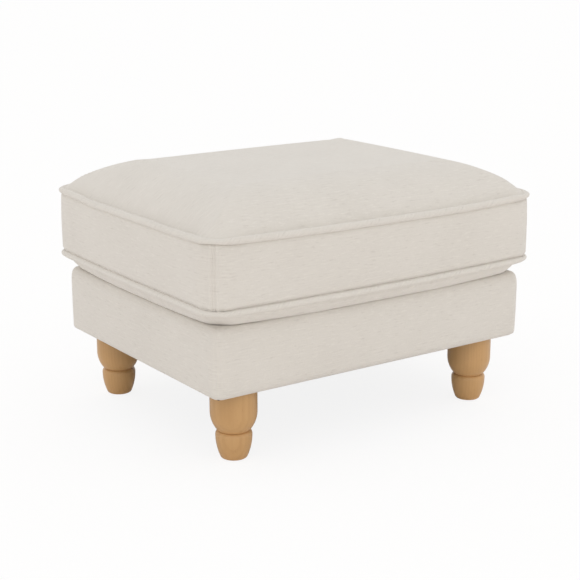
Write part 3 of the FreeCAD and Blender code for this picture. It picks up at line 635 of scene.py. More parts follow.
def wood(name, early, late, ringed, coat=0.0, rough=0.5, along="z"):
    """A solid-grained wood. Early and late are the light and dark parts of a year's growth."""
    timber = Recipe(name, Coat_Weight=coat, Coat_Roughness=0.28, Specular_IOR_Level=0.3)
    turned = {"Vector": timber.here(), "Rotation": GRAIN_TURN[along]}
    here = timber.node("ShaderNodeMapping", {}, turned)
    slow = timber.stretch(here, (9.0, 9.0, 2.2))
    x, y, _ = timber.parts(timber.waver(here, slow, 1.0, 2.0, (0.03, 0.03, 0.0)))
    x = x + PITH[0]
    y = y + PITH[1]
    from_pith = timber.maths("SQRT", x * x + y * y)
    ring = timber.maths("FRACT", from_pith / RING_GAP)
    late_wood = timber.step_up(ring, 0.25, 0.95) * (1 - timber.step_up(ring, 0.9, 1.0))
    pores = timber.streaks(here, (900.0, 900.0, 28.0))
    streak = timber.streaks(here, (160.0, 160.0, 5.0), 3.0)
    flecks = timber.step_up(timber.streaks(here, (420.0, 420.0, 110.0), 1.0), 0.63, 0.72)
    share = late_wood * ringed + streak * 0.36 + pores * 0.12 + flecks * 0.1
    colour = timber.blend(timber.step_up(share, 0.05, 1.0), early, late)
    gloss = pores * 0.1 + (rough - 0.05)
    return timber.finish(colour, pores * 0.6 + late_wood * 0.1, 0.0001, gloss, 0.3)


leg_wood = wood("leg_wood", tone(200, 158, 107), tone(174, 129, 79), 0.12, coat=0.18, rough=0.38)
print("woods:", leg_wood.name)

# %% [markdown]
# ## The stuffed cushion
#
# Inside the cover are a foam slab and two layers of fibre. Together they make one full, crowned
# form: nearly flat in the middle, falling away faster and faster towards the seams, with sides that
# belly out a little between the two pipings. It starts as a block with rounded corners. A voxel
# remesh turns it into even small faces, its top is pressed into the crown's curve, and a cloth
# simulation with a little air pressure then swells it against the seams, which are pinned, as the
# piping holds them on the real cushion.

# %% Sag between the corners
TOP_SEAM_SAG = (0.0064, 0.0030)
BOTTOM_SEAM_SAG = (0.0045, 0.0022)
CORNER_SAG = 0.0018
SAG_LEAN = 0.25
SAG_FADES_TO_BACK = (0.12, 0.26)
SAG_FADES_INWARD = (0.012, 0.06)
DECK_SAG = (0.0014, 0.0014)
DECK_SAG_FADES_INWARD = (0.02, 0.09)
BELOW_PIPING = 0.008


def cushion_sag(points):
    """How far the cushion's cloth sinks: most at the seams, half-way along the front and the ends.
    The back is held straight by its zip."""
    off_back = 1 - ease(points[:, 1], *SAG_FADES_TO_BACK)
    on_front = np.where(points[:, 1] < 0, 1.0, 0.0)
    lean = 1 + SAG_LEAN * points[:, 0] / CUSHION_HALF[0]
    at_top = between_corners(
        points, CUSHION_HALF, TOP_SEAM_SAG[0] * on_front * lean, TOP_SEAM_SAG[1]
    )
    at_bottom = between_corners(
        points, CUSHION_HALF, BOTTOM_SEAM_SAG[0] * on_front, BOTTOM_SEAM_SAG[1]
    )
    up = ease(points[:, 2], BOTTOM_SEAM_Z, TOP_SEAM_Z)
    edge = 1 - ease(depth_inside(points, *CUSHION), *SAG_FADES_INWARD)
    return (at_bottom + (at_top + CORNER_SAG - at_bottom) * up) * off_back * edge


def deck_press(points):
    """How far the edge of the padded deck is pressed down between the corners."""
    inside = depth_inside(points, *BASE)
    edge = 1 - ease(inside, *DECK_SAG_FADES_INWARD)
    return between_corners(points, BASE_HALF, *DECK_SAG) * edge


def deck_height(points):
    """The height of the base's padded top, with its round edge."""
    step = np.clip(DECK_ROUND - depth_inside(points, *BASE), 0, DECK_ROUND)
    rounding = DECK_ROUND - np.sqrt(DECK_ROUND**2 - step**2)
    return DECK_Z - rounding - deck_press(points)


def settle(piece, above_deck):
    """Lets a finished piece of the cushion sag, but no lower than this far above the deck."""
    points = points_of(piece)
    low = points[:, 2] < BOTTOM_PIPING_Z - BELOW_PIPING
    points[:, 2] -= cushion_sag(points)
    over_deck = low & (depth_inside(points, *BASE) > 0.001)
    floor_z = np.where(over_deck, deck_height(points) + above_deck, 0)
    points[:, 2] = np.maximum(points[:, 2], floor_z)
    set_points(piece, points)


print("sag at the top seam, mm:", [s * 1000 for s in TOP_SEAM_SAG])

# %% Crown
CROWN_RISE = 0.0575
CROWN_RUN = 0.112
CROWN_SWELL = 0.0037
DIAGONAL_ROUND = 0.005
DIAGONAL_OPENS = (0.045, 0.09)
CREASE_DIP = 0.0048
CREASE_OPENS = (0.002, 0.008)
CREASE_CLOSES = (0.0115, 0.03)
CREASE_CORNER = 0.085
CREASE_CORNER_FADE = 0.06


def crown_height(points):
    """The height of the cushion's top over each point."""
    depth = depth_inside(points, *CUSHION)
    from_end = CUSHION_HALF[0] - np.abs(points[:, 0])
    from_front = CUSHION_HALF[1] - np.abs(points[:, 1])
    apart = np.abs(from_end - from_front)
    blunt = DIAGONAL_ROUND * np.log1p(np.exp(-apart / DIAGONAL_ROUND))
    share = np.clip((depth - blunt * ease(depth, *DIAGONAL_OPENS)) / CROWN_RUN, 0, 1)
    shoulder = (1 - (1 - share) ** 1.66) ** 1.13
    dome_x = 1 - (points[:, 0] / CUSHION_HALF[0]) ** 2
    dome_y = 1 - (points[:, 1] / CUSHION_HALF[1]) ** 2
    crease = CREASE_DIP * ease(depth, *CREASE_OPENS) * (1 - ease(depth, *CREASE_CLOSES))
    near_corner = ease(CREASE_CORNER - np.hypot(from_end, from_front), 0, CREASE_CORNER_FADE)
    crown = TOP_SEAM_Z + CROWN_RISE * shoulder + CROWN_SWELL * (dome_x * dome_y)
    return crown - crease * (1 - near_corner)


print("the crown rises", CROWN_RISE * 1000, "mm over its seam")

# %% Underside and sides
UNDERSIDE_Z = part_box("cushion_bottom_panel")[0].z
BELLY_CORNER = 0.070
BELLY_START = 0.004
BELLY_RUN = 0.034
BELLY_OVERHANG = (0.006, 0.006)
BELLY_DROP = (0.004, 0.004)
DECK_GAP = 0.0003
GROOVE_DEPTH = 0.0027
GROOVE_FADES = (BOTTOM_SEAM_Z + 0.0045, BOTTOM_SEAM_Z + 0.0115)
TOP_SEAM_DEPTH = 0.0043
BOTTOM_SEAM_DEPTH = 0.0026
VOXEL = 0.005


def belly_height(points):
    """The height of the cushion's underside: a slope from the piping, then at rest on the deck."""
    run = BELLY_RUN - between_corners(points, CUSHION_HALF, *BELLY_OVERHANG)
    share = np.clip((depth_inside(points, CUSHION_HALF, BELLY_CORNER) - BELLY_START) / run, 0, 1)
    lowest = UNDERSIDE_Z - between_corners(points, CUSHION_HALF, *BELLY_DROP)
    slope = BOTTOM_SEAM_Z - (BOTTOM_SEAM_Z - lowest) * (1 - (1 - share) ** 1.7)
    return np.maximum(slope, deck_height(points) + DECK_GAP)


def groove_depth(heights):
    """How far the border turns in just above the lower piping, so that the seam shows as a line."""
    return GROOVE_DEPTH * (1 - ease(heights, *GROOVE_FADES))


def rounded_block(name, half, corner, low_z, high_z):
    """A block whose four upright edges are rounded."""
    piece = add_block(name, (-half[0], -half[1], low_z), (half[0], half[1], high_z))
    bevel_edges(
        piece,
        lambda middle, edge: abs(edge.verts[0].co.z - edge.verts[1].co.z) > 0.01,
        corner,
        12,
    )
    return piece


form = rounded_block(
    "cushion_form",
    (CUSHION_HALF[0] - TOP_SEAM_DEPTH, CUSHION_HALF[1] - TOP_SEAM_DEPTH),
    CUSHION_CORNER - TOP_SEAM_DEPTH,
    BOTTOM_SEAM_Z,
    TOP_SEAM_Z,
)
apply_modifier(form, "REMESH", mode="VOXEL", voxel_size=VOXEL, use_smooth_shade=True)
points = points_of(form)
on_top = points[:, 2] > TOP_SEAM_Z - VOXEL * 0.3
below = points[:, 2] < BOTTOM_SEAM_Z + VOXEL * 0.3
lift = np.where(on_top, crown_height(points) - TOP_SEAM_Z, 0)
lift += np.where(below, belly_height(points) - BOTTOM_SEAM_Z, 0)
points[:, 2] += lift
share_up = np.clip((points[:, 2] - BOTTOM_SEAM_Z) / (TOP_SEAM_Z - BOTTOM_SEAM_Z), 0, 1)
widen(points, (TOP_SEAM_DEPTH - BOTTOM_SEAM_DEPTH) * (1 - share_up), CUSHION_HALF)
set_points(form, points)
print("cushion form:", len(points), "points")

# %% [markdown]
# The swelling is soft: a point may move only a few millimetres, less on the narrow border than on
# the broad top. What the simulation gives are the small unequal tensions that a formula doesn't
# have: fuller middles, flatter corners.

# %% Swell the cushion
SWELL_TOP = 0.0016
SWELL_BORDER = 0.0010
SWELL_AT_REST = 0.0004
PRESSURE = 4
STIFFNESS = 15
STEPS = 20


def swell(piece, pinned, limit):
    """Blows the closed piece up a little with Cloth, and keeps each point within its limit."""
    start = points_of(piece)
    group = piece.vertex_groups.new(name="seams")
    group.add([int(i) for i in np.flatnonzero(pinned)], 1, "REPLACE")
    choose(piece)
    modifier = piece.modifiers.new("Cloth", "CLOTH")
    cloth = modifier.settings
    cloth.quality = 5
    cloth.use_pressure = True
    cloth.uniform_pressure_force = PRESSURE
    cloth.effector_weights.gravity = 0
    cloth.vertex_group_mass = group.name
    cloth.tension_stiffness = STIFFNESS
    cloth.compression_stiffness = STIFFNESS
    modifier.point_cache.frame_end = STEPS
    for step in range(1, STEPS + 1):
        bpy.context.scene.frame_set(step)
    bpy.ops.object.modifier_apply(modifier=modifier.name)
    bpy.context.scene.frame_set(1)
    piece.vertex_groups.clear()
    moved = points_of(piece) - start
    distance = np.linalg.norm(moved, axis=1)
    held = limit * np.tanh(distance / np.maximum(limit, 1e-9))
    set_points(piece, start + moved * (held / np.maximum(distance, 1e-9))[:, None])
    print("swelling before the limit, mm:", round(float(distance.max() * 1000), 1))


from_seam = np.minimum(np.abs(points[:, 2] - TOP_SEAM_Z), np.abs(points[:, 2] - BOTTOM_SEAM_Z))
seam_depth = depth_inside(points, *CUSHION)
pinned = (from_seam < VOXEL * 0.6) & (seam_depth < 0.009)
resting = points[:, 2] < UNDERSIDE_Z + 0.004
limit = np.where(
    points[:, 2] > TOP_SEAM_Z,
    SWELL_TOP * ease(seam_depth, 0.012, 0.05),
    np.where(resting, SWELL_AT_REST, SWELL_BORDER),
)
swell(form, pinned, limit)
points = points_of(form)
print("cushion form from", points.min(axis=0).round(4), "to", points.max(axis=0).round(4))

# %% [markdown]
# ## Foam and fibre
#
# The stuffed form is cut level into its three real layers: a fibre wrap that makes the crown, the
# foam slab that gives the height, and a thinner fibre wrap underneath. They lie just inside the
# cover, so the form is first drawn in by a little more than the cloth's thickness.

# %% Foam and fibre
CLEARANCE = CLOTH + 0.0003
UNDER_SEAMS = 0.0032


def shrunk_copy(piece, name, distance):
    """A copy whose surface lies deeper by the distance."""
    twin = copy_of(piece, name)
    set_points(twin, points_of(twin) - points_of(twin, "normal") * distance)
    return twin


for name, node, floor_z, roof_z, fill in (
    ("crown_fibre", "cushion_fibre_top", TOP_SEAM_Z, None, 0.85),
    ("foam_slab", "cushion_foam", BOTTOM_SEAM_Z, TOP_SEAM_Z, 0.95),
    ("under_fibre", "cushion_fibre_bottom", None, BOTTOM_SEAM_Z, 0.7),
):
    layer = shrunk_copy(form, name, UNDER_SEAMS)
    if floor_z:
        cut_level(layer, floor_z, drop="behind", fill=True)
    if roof_z:
        cut_level(layer, roof_z, drop="front", fill=True)
    points = points_of(layer)
    widen(points, -groove_depth(points[:, 2]), CUSHION_HALF)
    set_points(layer, points)
    settle(layer, DECK_GAP + UNDER_SEAMS)
    smooth(layer, 40)
    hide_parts(node)
    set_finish(layer, "foam" if name == "foam_slab" else "fibre")
    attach(layer, "cushion")
    print(name, len(layer.data.polygons), "faces")

# %% [markdown]
# ## The cover's panels
#
# The cover is cut from flat cloth: a top, a bottom, and border strips joined at the corners. Each
# panel is the part of the stuffed form that it covers, cut off along its seams and given the
# cloth's thickness, so neighbours meet exactly. Extra cuts close to a seam leave room to roll the
# cloth into it: the strips turn in under the piping, and a corner seam stands up as a thin rib
# between two narrow valleys, with a low ridge on each side over the seam allowance.

# %% Tools for the panels
CORNERS = {
    "front_left": (-1, -1),
    "front_right": (1, -1),
    "back_right": (1, 1),
    "back_left": (-1, 1),
}
SIDES = {
    "front": ("front_left", "front_right"),
    "right": ("front_right", "back_right"),
    "back": ("back_right", "back_left"),
    "left": ("back_left", "front_left"),
}


def corner_plane(corner_name, half, corner):
    """The upright plane that halves a corner: a point, and its direction to the short side."""
    way_x, way_y = CORNERS[corner_name]
    place = Vector((way_x * (half[0] - corner), way_y * (half[1] - corner), 0))
    return place, Vector((way_x, -way_y, 0)).normalized()


def side_strip(source, name, side, half, corner):
    """The part of a form between the two corner planes of one side."""
    strip = copy_of(source, name)
    for corner_name in SIDES[side]:
        place, to_short_side = corner_plane(corner_name, half, corner)
        cut(strip, place, to_short_side, drop="front" if side in ("front", "back") else "behind")
    return strip


def seam_distance(points, side, half, corner):
    """How far each point of a strip is from the nearer of its two corner planes."""
    distances = []
    for corner_name in SIDES[side]:
        place, normal = corner_plane(corner_name, half, corner)
        distances.append(np.abs((points - np.array(place)) @ np.array(normal)))
    return np.minimum(*distances)


def add_seam_loops(strip, side, half, corner, offsets):
    """Extra cuts beside the corner seams of a strip."""
    way = -1 if side in ("front", "back") else 1
    for corner_name in SIDES[side]:
        place, normal = corner_plane(corner_name, half, corner)
        for offset in offsets:
            cut(strip, place + normal * way * offset, normal)


def push_out(piece, distance):
    """Moves each point along the surface's own direction by its own distance."""
    out = points_of(piece, "normal") * np.asarray(distance)[:, None]
    set_points(piece, points_of(piece) + out)


def thicken(piece, thickness):
    """Gives a panel the cloth's thickness, inwards."""
    apply_modifier(piece, "SOLIDIFY", thickness=thickness, offset=-1)


def lay_weave(piece, across, along, turns=(0, 0)):
    """Writes the map named weave: where each point lies on its flat cloth, in metres. Turns are
    the lengths after which a closed tube comes round to its start."""
    layer = piece.data.uv_layers.new(name="weave")
    piece.data.uv_layers.active = layer
    corners = np.empty(len(piece.data.loops), int)
    piece.data.loops.foreach_get("vertex_index", corners)
    starts = np.empty(len(piece.data.polygons), int)
    piece.data.polygons.foreach_get("loop_start", starts)
    sizes = np.empty(len(piece.data.polygons), int)
    piece.data.polygons.foreach_get("loop_total", sizes)
    columns = []
    for values, turn in zip((across, along), turns):
        column = values[corners]
        if turn:
            highest = np.repeat(np.maximum.reduceat(column, starts), sizes)
            column = column + turn * (highest - column > turn / 2)
        columns.append(column)
    layer.data.foreach_set("uv", np.stack(columns, axis=1).ravel())


print("panel tools ready")


# %% Top and bottom panels
CREASE_STEPS = (0.0035, 0.006, 0.0085, 0.011, 0.0145)

top_panel = copy_of(form, "top_panel")
cut_level(top_panel, TOP_SEAM_Z, drop="behind")
bottom_panel = copy_of(form, "bottom_panel")
cut_level(bottom_panel, BOTTOM_SEAM_Z, drop="front")
for step in CREASE_STEPS:
    cut_level(top_panel, TOP_SEAM_Z + step)
    cut_level(bottom_panel, BOTTOM_SEAM_Z - step)
for panel in (top_panel, bottom_panel):
    settle(panel, DECK_GAP)
    thicken(panel, CLOTH)
    flat = points_of(panel)
    lay_weave(panel, flat[:, 0], flat[:, 1])
    smooth(panel, 60)
    print(panel.name, len(panel.data.polygons), "faces")

# %% Border strips
LEVEL_CUTS = (0.001, 0.0022, 0.0038, 0.0055, 0.007, 0.009, 0.0115)
SEAM_CUTS = (0.0008, 0.0015, 0.0021, 0.003, 0.0045, 0.007, 0.011)
ROLL_HEIGHT = 0.0045
ROLL_DEPTH = {TOP_SEAM_Z: 0.0008, BOTTOM_SEAM_Z: 0.0010}
FOLD_DEPTH = 0.0015
CORNER_TUCK = 0.0026
CORNER_REACH = (0.02, 0.05)
BORDER_BULGE = 0.0013
TOP_FILL = 0.0013
TOP_FILL_OPENS = (0.80, 0.98)
SEAM_RIB = 0.0021
SEAM_VALLEY_WIDTH = 0.0010
SEAM_DIP = 0.0009
SEAM_RIDGE = 0.0011
RIDGE_OPENS = (0.003, 0.005)
RIDGE_CLOSES = (0.0070, 0.0125)


def seam_profile(distance, dip, ridge):
    """The cloth's height beside a corner seam: a thin rib, a narrow valley on each side of it, and
    then a low ridge over the seam allowance."""
    valley = -dip * np.exp(-(((distance - SEAM_RIB) / SEAM_VALLEY_WIDTH) ** 2))
    return valley + ridge * ease(distance, *RIDGE_OPENS) * (1 - ease(distance, *RIDGE_CLOSES))


def border_strip(name, side, low_z, high_z):
    """One strip of the cushion's border between two heights, shaped at its seams."""
    strip = side_strip(form, name, side, *CUSHION)
    cut_level(strip, high_z, drop="front")
    cut_level(strip, low_z, drop="behind")
    for step in LEVEL_CUTS:
        cut_level(strip, high_z - step)
        cut_level(strip, low_z + step)
    add_seam_loops(strip, side, *CUSHION, SEAM_CUTS)
    points = points_of(strip)
    distance = seam_distance(points, side, *CUSHION)
    shape = seam_profile(distance, SEAM_DIP, SEAM_RIDGE)
    up = (points[:, 2] - BOTTOM_SEAM_Z) / (TOP_SEAM_Z - BOTTOM_SEAM_Z)
    shape += BORDER_BULGE * np.sin(np.clip(up, 0, 1) ** 1.3 * math.pi)
    shape -= groove_depth(points[:, 2])
    beside_corner = 1 - ease(distance, *CORNER_REACH)
    full = TOP_FILL * (0.7 + 0.3 * ripple(points, 0.10, len(name)))
    shape += full * ease(up, *TOP_FILL_OPENS) * (1 - beside_corner)
    for edge_z in (low_z, high_z):
        near = 1 - np.clip(np.abs(points[:, 2] - edge_z) / ROLL_HEIGHT, 0, 1)
        depth = ROLL_DEPTH.get(edge_z, FOLD_DEPTH)
        if edge_z == TOP_SEAM_Z:
            depth = depth + CORNER_TUCK * beside_corner
        shape -= depth * (1 - np.sqrt(1 - near**2))
    push_out(strip, shape)
    return strip


def finish_border(strip):
    """Sag, thickness, weave and shading of a border strip."""
    settle(strip, DECK_GAP)
    thicken(strip, CLOTH)
    points = points_of(strip)
    lay_weave(strip, length_around(points, *CUSHION), points[:, 2])
    smooth(strip, 60)
    print(strip.name, len(strip.data.polygons), "faces")


borders = {}
for side in ("front", "left", "right"):
    borders[side] = border_strip("border_" + side + "_cloth", side, BOTTOM_SEAM_Z, TOP_SEAM_Z)
    finish_border(borders[side])

# %% [markdown]
# The back border is cut in two strips with the zip between them. Their folded edges part along the
# zip, in an opening with pointed ends, and close again before the corners.

# %% Back border strips
ZIP_Z = middle_z("zip_coils")
ZIP_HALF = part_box("zip_end_stops")[1].x + 0.002
SLOT_HALF = 0.0042
SLOT_ENDS = (ZIP_HALF - 0.008, ZIP_HALF + 0.004)
SLOT_REACH = 0.02
for name, low_z, high_z, way in (
    ("border_back_upper_cloth", ZIP_Z, TOP_SEAM_Z, 1),
    ("border_back_lower_cloth", BOTTOM_SEAM_Z, ZIP_Z, -1),
):
    strip = border_strip(name, "back", low_z, high_z)
    points = points_of(strip)
    open_here = 1 - ease(np.abs(points[:, 0]), *SLOT_ENDS)
    near = 1 - ease(np.abs(points[:, 2] - ZIP_Z), 0, SLOT_REACH)
    points[:, 2] += way * SLOT_HALF * open_here * near
    set_points(strip, points)
    finish_border(strip)
    borders[name] = strip

# %% [markdown]
# ## Piping
#
# Piping is a cord in a narrow strip of cloth cut on the slant, sewn into the seam. Its line is the
# cushion's rounded outline, so a plane gets its corners bevelled, its face taken away, and the
# wire that is left becomes a curve with a round section. Bevelling a wire makes a cleaner closed
# ring than sweeping a circle by hand. The slant of the strip goes in the weave's map: the threads
# run round the cord at 45 degrees.

# %% Piping rings
EAR = 0.0012
CORNER_PINCH = 0.32
PIPING_FLATTEN = {BOTTOM_PIPING_Z: 0.94}
WANDER = 0.0004
PIPING_CLOTH = 0.0011
CORD_RADIUS = PIPING_RADIUS - PIPING_CLOTH - 0.0003


def corner_ears(points):
    """How far the corners stand out: the cord springs straight and bulges where it is bent."""
    at_x, at_y = (
        ease(np.abs(points[:, axis]), CUSHION_HALF[axis] - 0.06, CUSHION_HALF[axis] - 0.012)
        for axis in (0, 1)
    )
    return EAR * at_x * at_y


def ring(name, height, radius, seed):
    """A closed tube along the piping's line at this height."""
    bpy.ops.object.select_all(action="DESELECT")
    bpy.ops.mesh.primitive_plane_add(size=2, location=(0, 0, 0))
    piece = bpy.context.object
    piece.name = name
    piece.scale = (CUSHION_HALF[0] - PIPING_RADIUS, CUSHION_HALF[1] - PIPING_RADIUS, 1)
    bpy.ops.object.transform_apply(location=True, rotation=True, scale=True)
    pick(piece, "VERT", lambda middle, vertex: True)
    bpy.ops.mesh.bevel(offset=CUSHION_CORNER - PIPING_RADIUS, segments=14, affect="VERTICES")
    bpy.ops.mesh.select_all(action="SELECT")
    bpy.ops.mesh.delete(type="ONLY_FACE")
    close()
    pick(piece, "EDGE", lambda middle, edge: edge.calc_length() > 0.1)
    bpy.ops.mesh.subdivide(number_cuts=110)
    close()
    points = points_of(piece)
    points[:, :2] += np.sign(points[:, :2]) * corner_ears(points)[:, None] * 0.7
    points[:, 2] = height + ripple(points, 0.16, seed) * WANDER
    set_points(piece, points)
    choose(piece)
    bpy.ops.object.convert(target="CURVE")
    piece.data.dimensions = "3D"
    piece.data.bevel_depth = radius
    piece.data.bevel_resolution = 4
    bpy.ops.object.convert(target="MESH")
    piece.data.name = name
    points = points_of(piece)
    pinch = CORNER_PINCH * corner_ears(points) / EAR
    flat = PIPING_FLATTEN.get(height, 1)
    points[:, 2] = height + (points[:, 2] - height) * (1 - pinch) * flat
    set_points(piece, points)
    return piece


def slant_weave(piece, height, radius):
    """Threads that run at 45 degrees round a tube."""
    half = (CUSHION_HALF[0] - radius, CUSHION_HALF[1] - radius)
    corner = CUSHION_CORNER - radius
    points = points_of(piece)
    along = length_around(points, half, corner)
    out = -depth_inside(points, half, corner)
    angle = np.arctan2(points[:, 2] - height, out) * radius
    around = 2 * math.pi * radius
    whole = 4 * (half[0] + half[1] - 2 * corner) + 2 * math.pi * corner
    lay_weave(piece, along, angle, (whole, around))


pipings = {}
for name, node, height, seed in (
    ("top_piping", "piping_top", TOP_PIPING_Z, 3),
    ("bottom_piping", "piping_bottom", BOTTOM_PIPING_Z, 4),
):
    tube = ring(name, height, PIPING_RADIUS, seed)
    push_out(tube, ripple(points_of(tube), 0.03, seed + 20) * 0.00018)
    slant_weave(tube, height, PIPING_RADIUS)
    settle(tube, DECK_GAP)
    thicken(tube, PIPING_CLOTH)
    smooth(tube)
    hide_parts(node)
    pipings[name] = tube
    print(name, len(tube.data.polygons), "faces")

# %% Cords inside the piping
for name, node, height, seed in (
    ("top_cord", "piping_cord_top", TOP_PIPING_Z, 3),
    ("bottom_cord", "piping_cord_bottom", BOTTOM_PIPING_Z, 4),
):
    cord = ring(name, height, CORD_RADIUS, seed)
    settle(cord, DECK_GAP + CLEARANCE)
    smooth(cord)
    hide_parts(node)
    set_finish(cord, "piping_cord")
    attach(cord, "cushion")
    print(name, len(cord.data.polygons), "faces")

# %% [markdown]
# ## The padded base
#
# The base is a timber frame with padding laid over it, covered in the same cloth, so its edges are
# round and its sides belly out a little. It is made as the cushion was: a block with rounded
# corners, a large round at the deck's edge and a small one at the hem, a voxel remesh, and a slight
# swelling. The hem is pinned, because it is stapled under the rails.

# %% Base form
HEM_ROUND = 0.004
BASE_SWELL = 0.0010
DECK_SWELL = 0.0003
SIDE_BULGE = (0.0020, 0.0016)


def bevel_rim(piece, height, offset, segments):
    """Rounds the edge loop that lies at this height."""
    bevel_edges(
        piece,
        lambda middle, edge: all(abs(v.co.z - height) < 1e-5 for v in edge.verts),
        offset,
        segments,
    )


base_form = rounded_block("base_form", *BASE, HEM_Z, DECK_Z)
bevel_rim(base_form, DECK_Z, DECK_ROUND, 5)
bevel_rim(base_form, HEM_Z, HEM_ROUND, 3)
apply_modifier(base_form, "REMESH", mode="VOXEL", voxel_size=VOXEL, use_smooth_shade=True)
points = points_of(base_form)
standing = ease(points[:, 2], HEM_Z, HEM_Z + 0.05) * (1 - ease(points[:, 2], DECK_Z - 0.03, DECK_Z))
points[:, 0] *= 1 + SIDE_BULGE[0] / BASE_HALF[0] * (0.75 + 0.25 * standing)
points[:, 1] *= 1 + SIDE_BULGE[1] / BASE_HALF[1] * standing
set_points(base_form, points)
stapled = (points[:, 2] < HEM_Z + 0.003) & (depth_inside(points, *BASE) > 0.006)
limit = np.where(points[:, 2] > DECK_Z - 0.004, DECK_SWELL, BASE_SWELL)
swell(base_form, stapled, limit)
points = points_of(base_form)
points[:, 2] -= deck_press(points) * ease(points[:, 2], 0.19, DECK_Z - 0.003)
points[:, 2] = np.clip(points[:, 2], HEM_Z, DECK_Z)
set_points(base_form, points)
print("base form:", len(points), "points, from", points.min(axis=0).round(4))

# %% [markdown]
# ## Padding and covers of the base
#
# A foam sheet lies on the deck and a strip of padding on each rail. The four side covers are mitred
# at the corners, run over the deck's edge to the deck cloth and under the rails to their staples.

# %% Base padding
FOAM_FLOOR_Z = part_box("deck_foam")[0].z
PADDING_FLOOR_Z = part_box("padding_front")[0].z
PADDING = 0.0068

deck_pad = shrunk_copy(base_form, "deck_pad", CLEARANCE)
cut_level(deck_pad, FOAM_FLOOR_Z, drop="behind", fill=True)
smooth(deck_pad, 40)
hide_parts("deck_foam")
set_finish(deck_pad, "foam")
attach(deck_pad, "base")
under_covers = shrunk_copy(base_form, "under_covers", CLEARANCE)
for side in SIDES:
    pad = side_strip(under_covers, side + "_pad", side, *BASE)
    cut_level(pad, FOAM_FLOOR_Z, drop="front")
    cut_level(pad, PADDING_FLOOR_Z, drop="behind")
    thicken(pad, PADDING)
    smooth(pad, 40)
    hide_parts("padding_" + side)
    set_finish(pad, "fibre")
    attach(pad, "base")
    print(pad.name, len(pad.data.polygons), "faces")

# %% Base covers
DECK_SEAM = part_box("deck_cloth")[1]
UNDER_EDGE = (0.300, 0.229)
COVER_SEAM_DIP = 0.0004
COVER_SEAM_RIDGE = 0.0001
COVER_SEAM_CUTS = (0.001, 0.0021, 0.0035, 0.006)
for side in SIDES:
    cover = side_strip(base_form, "base_" + side + "_cloth", side, *BASE)
    axis = 1 if side in ("front", "back") else 0
    way = 1 if side in ("back", "right") else -1
    outward = Vector((0, 0, 0))
    outward[axis] = way
    cut(cover, outward * DECK_SEAM[axis], outward, drop="behind")
    cut(cover, outward * UNDER_EDGE[axis], outward)
    drop_faces(
        cover,
        lambda middle, face: middle.z < HEM_Z + 0.002 and middle[axis] * way < UNDER_EDGE[axis],
    )
    add_seam_loops(cover, side, *BASE, COVER_SEAM_CUTS)
    points = points_of(cover)
    distance = seam_distance(points, side, *BASE)
    standing = 1 - ease(depth_inside(points, *BASE), 0.012, 0.02)
    standing *= ease(points[:, 2], HEM_Z + 0.003, HEM_Z + 0.02)
    push_out(cover, seam_profile(distance, COVER_SEAM_DIP, COVER_SEAM_RIDGE) * standing)
    thicken(cover, CLOTH)
    points = points_of(cover)
    inside = depth_inside(points, *BASE)
    turned = np.maximum(inside - 0.008, 0) * np.where(points[:, 2] > DECK_Z - 0.02, 1, -1)
    lay_weave(cover, length_around(points, *BASE), points[:, 2] + turned)
    smooth(cover, 60)
    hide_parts("base_cover_" + side)
    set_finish(cover, "base_fabric")
    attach(cover, "base")
    print(cover.name, len(cover.data.polygons), "faces")

deck = copy_of(base_form, "deck_panel")
for way in (-1, 1):
    cut(deck, (way * DECK_SEAM[0], 0, 0), (way, 0, 0), drop="front")
    cut(deck, (0, way * DECK_SEAM[1], 0), (0, way, 0), drop="front")
drop_faces(deck, lambda middle, face: middle.z < DECK_Z - 0.05)
thicken(deck, CLOTH)
points = points_of(deck)
lay_weave(deck, points[:, 0], points[:, 1])
smooth(deck, 60)
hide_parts("deck_cloth")
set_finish(deck, "base_fabric")
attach(deck, "base")

# %% [markdown]
# ## Fixing the cover's pieces to the moving cushion
#
# The cushion lifts off the base, so all its cloth rides on the cushion. The two forms from which
# everything was cut have done their work and go.

# %% Cushion cover pieces
for piece, nodes in (
    (top_panel, ["cushion_top_panel"]),
    (bottom_panel, ["cushion_bottom_panel"]),
    (borders["front"], ["border_front"]),
    (borders["left"], ["border_left"]),
    (borders["right"], ["border_right"]),
    (borders["border_back_upper_cloth"], ["border_back_upper"]),
    (borders["border_back_lower_cloth"], ["border_back_lower"]),
):
    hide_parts(*nodes)
    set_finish(piece, "cushion_fabric")
    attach(piece, "cushion")
for tube in pipings.values():
    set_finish(tube, "piping_fabric")
    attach(tube, "cushion")
for used_up in (form, base_form, under_covers):
    choose(used_up)
    bpy.ops.object.delete()

# %% [markdown]
# ## The dust cover
#
# A black spunbond cloth closes the underside. It is pulled flat, stapled near its edge, and sags a
# little between the legs. A flat block would look like a board, so a fine grid gets a soft sag that
# leaves the stapled edge and the places under the legs alone.

# %% Dust cover
dust_low, dust_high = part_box("dust_cover")
DUST_THICKNESS = dust_high.z - dust_low.z
DUST_SAG = 0.0022
leg_low, leg_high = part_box("leg_front_right")
LEG_PLACE = [(leg_low[axis] + leg_high[axis]) / 2 for axis in (0, 1)]
LEG_CLEARANCE = 0.045

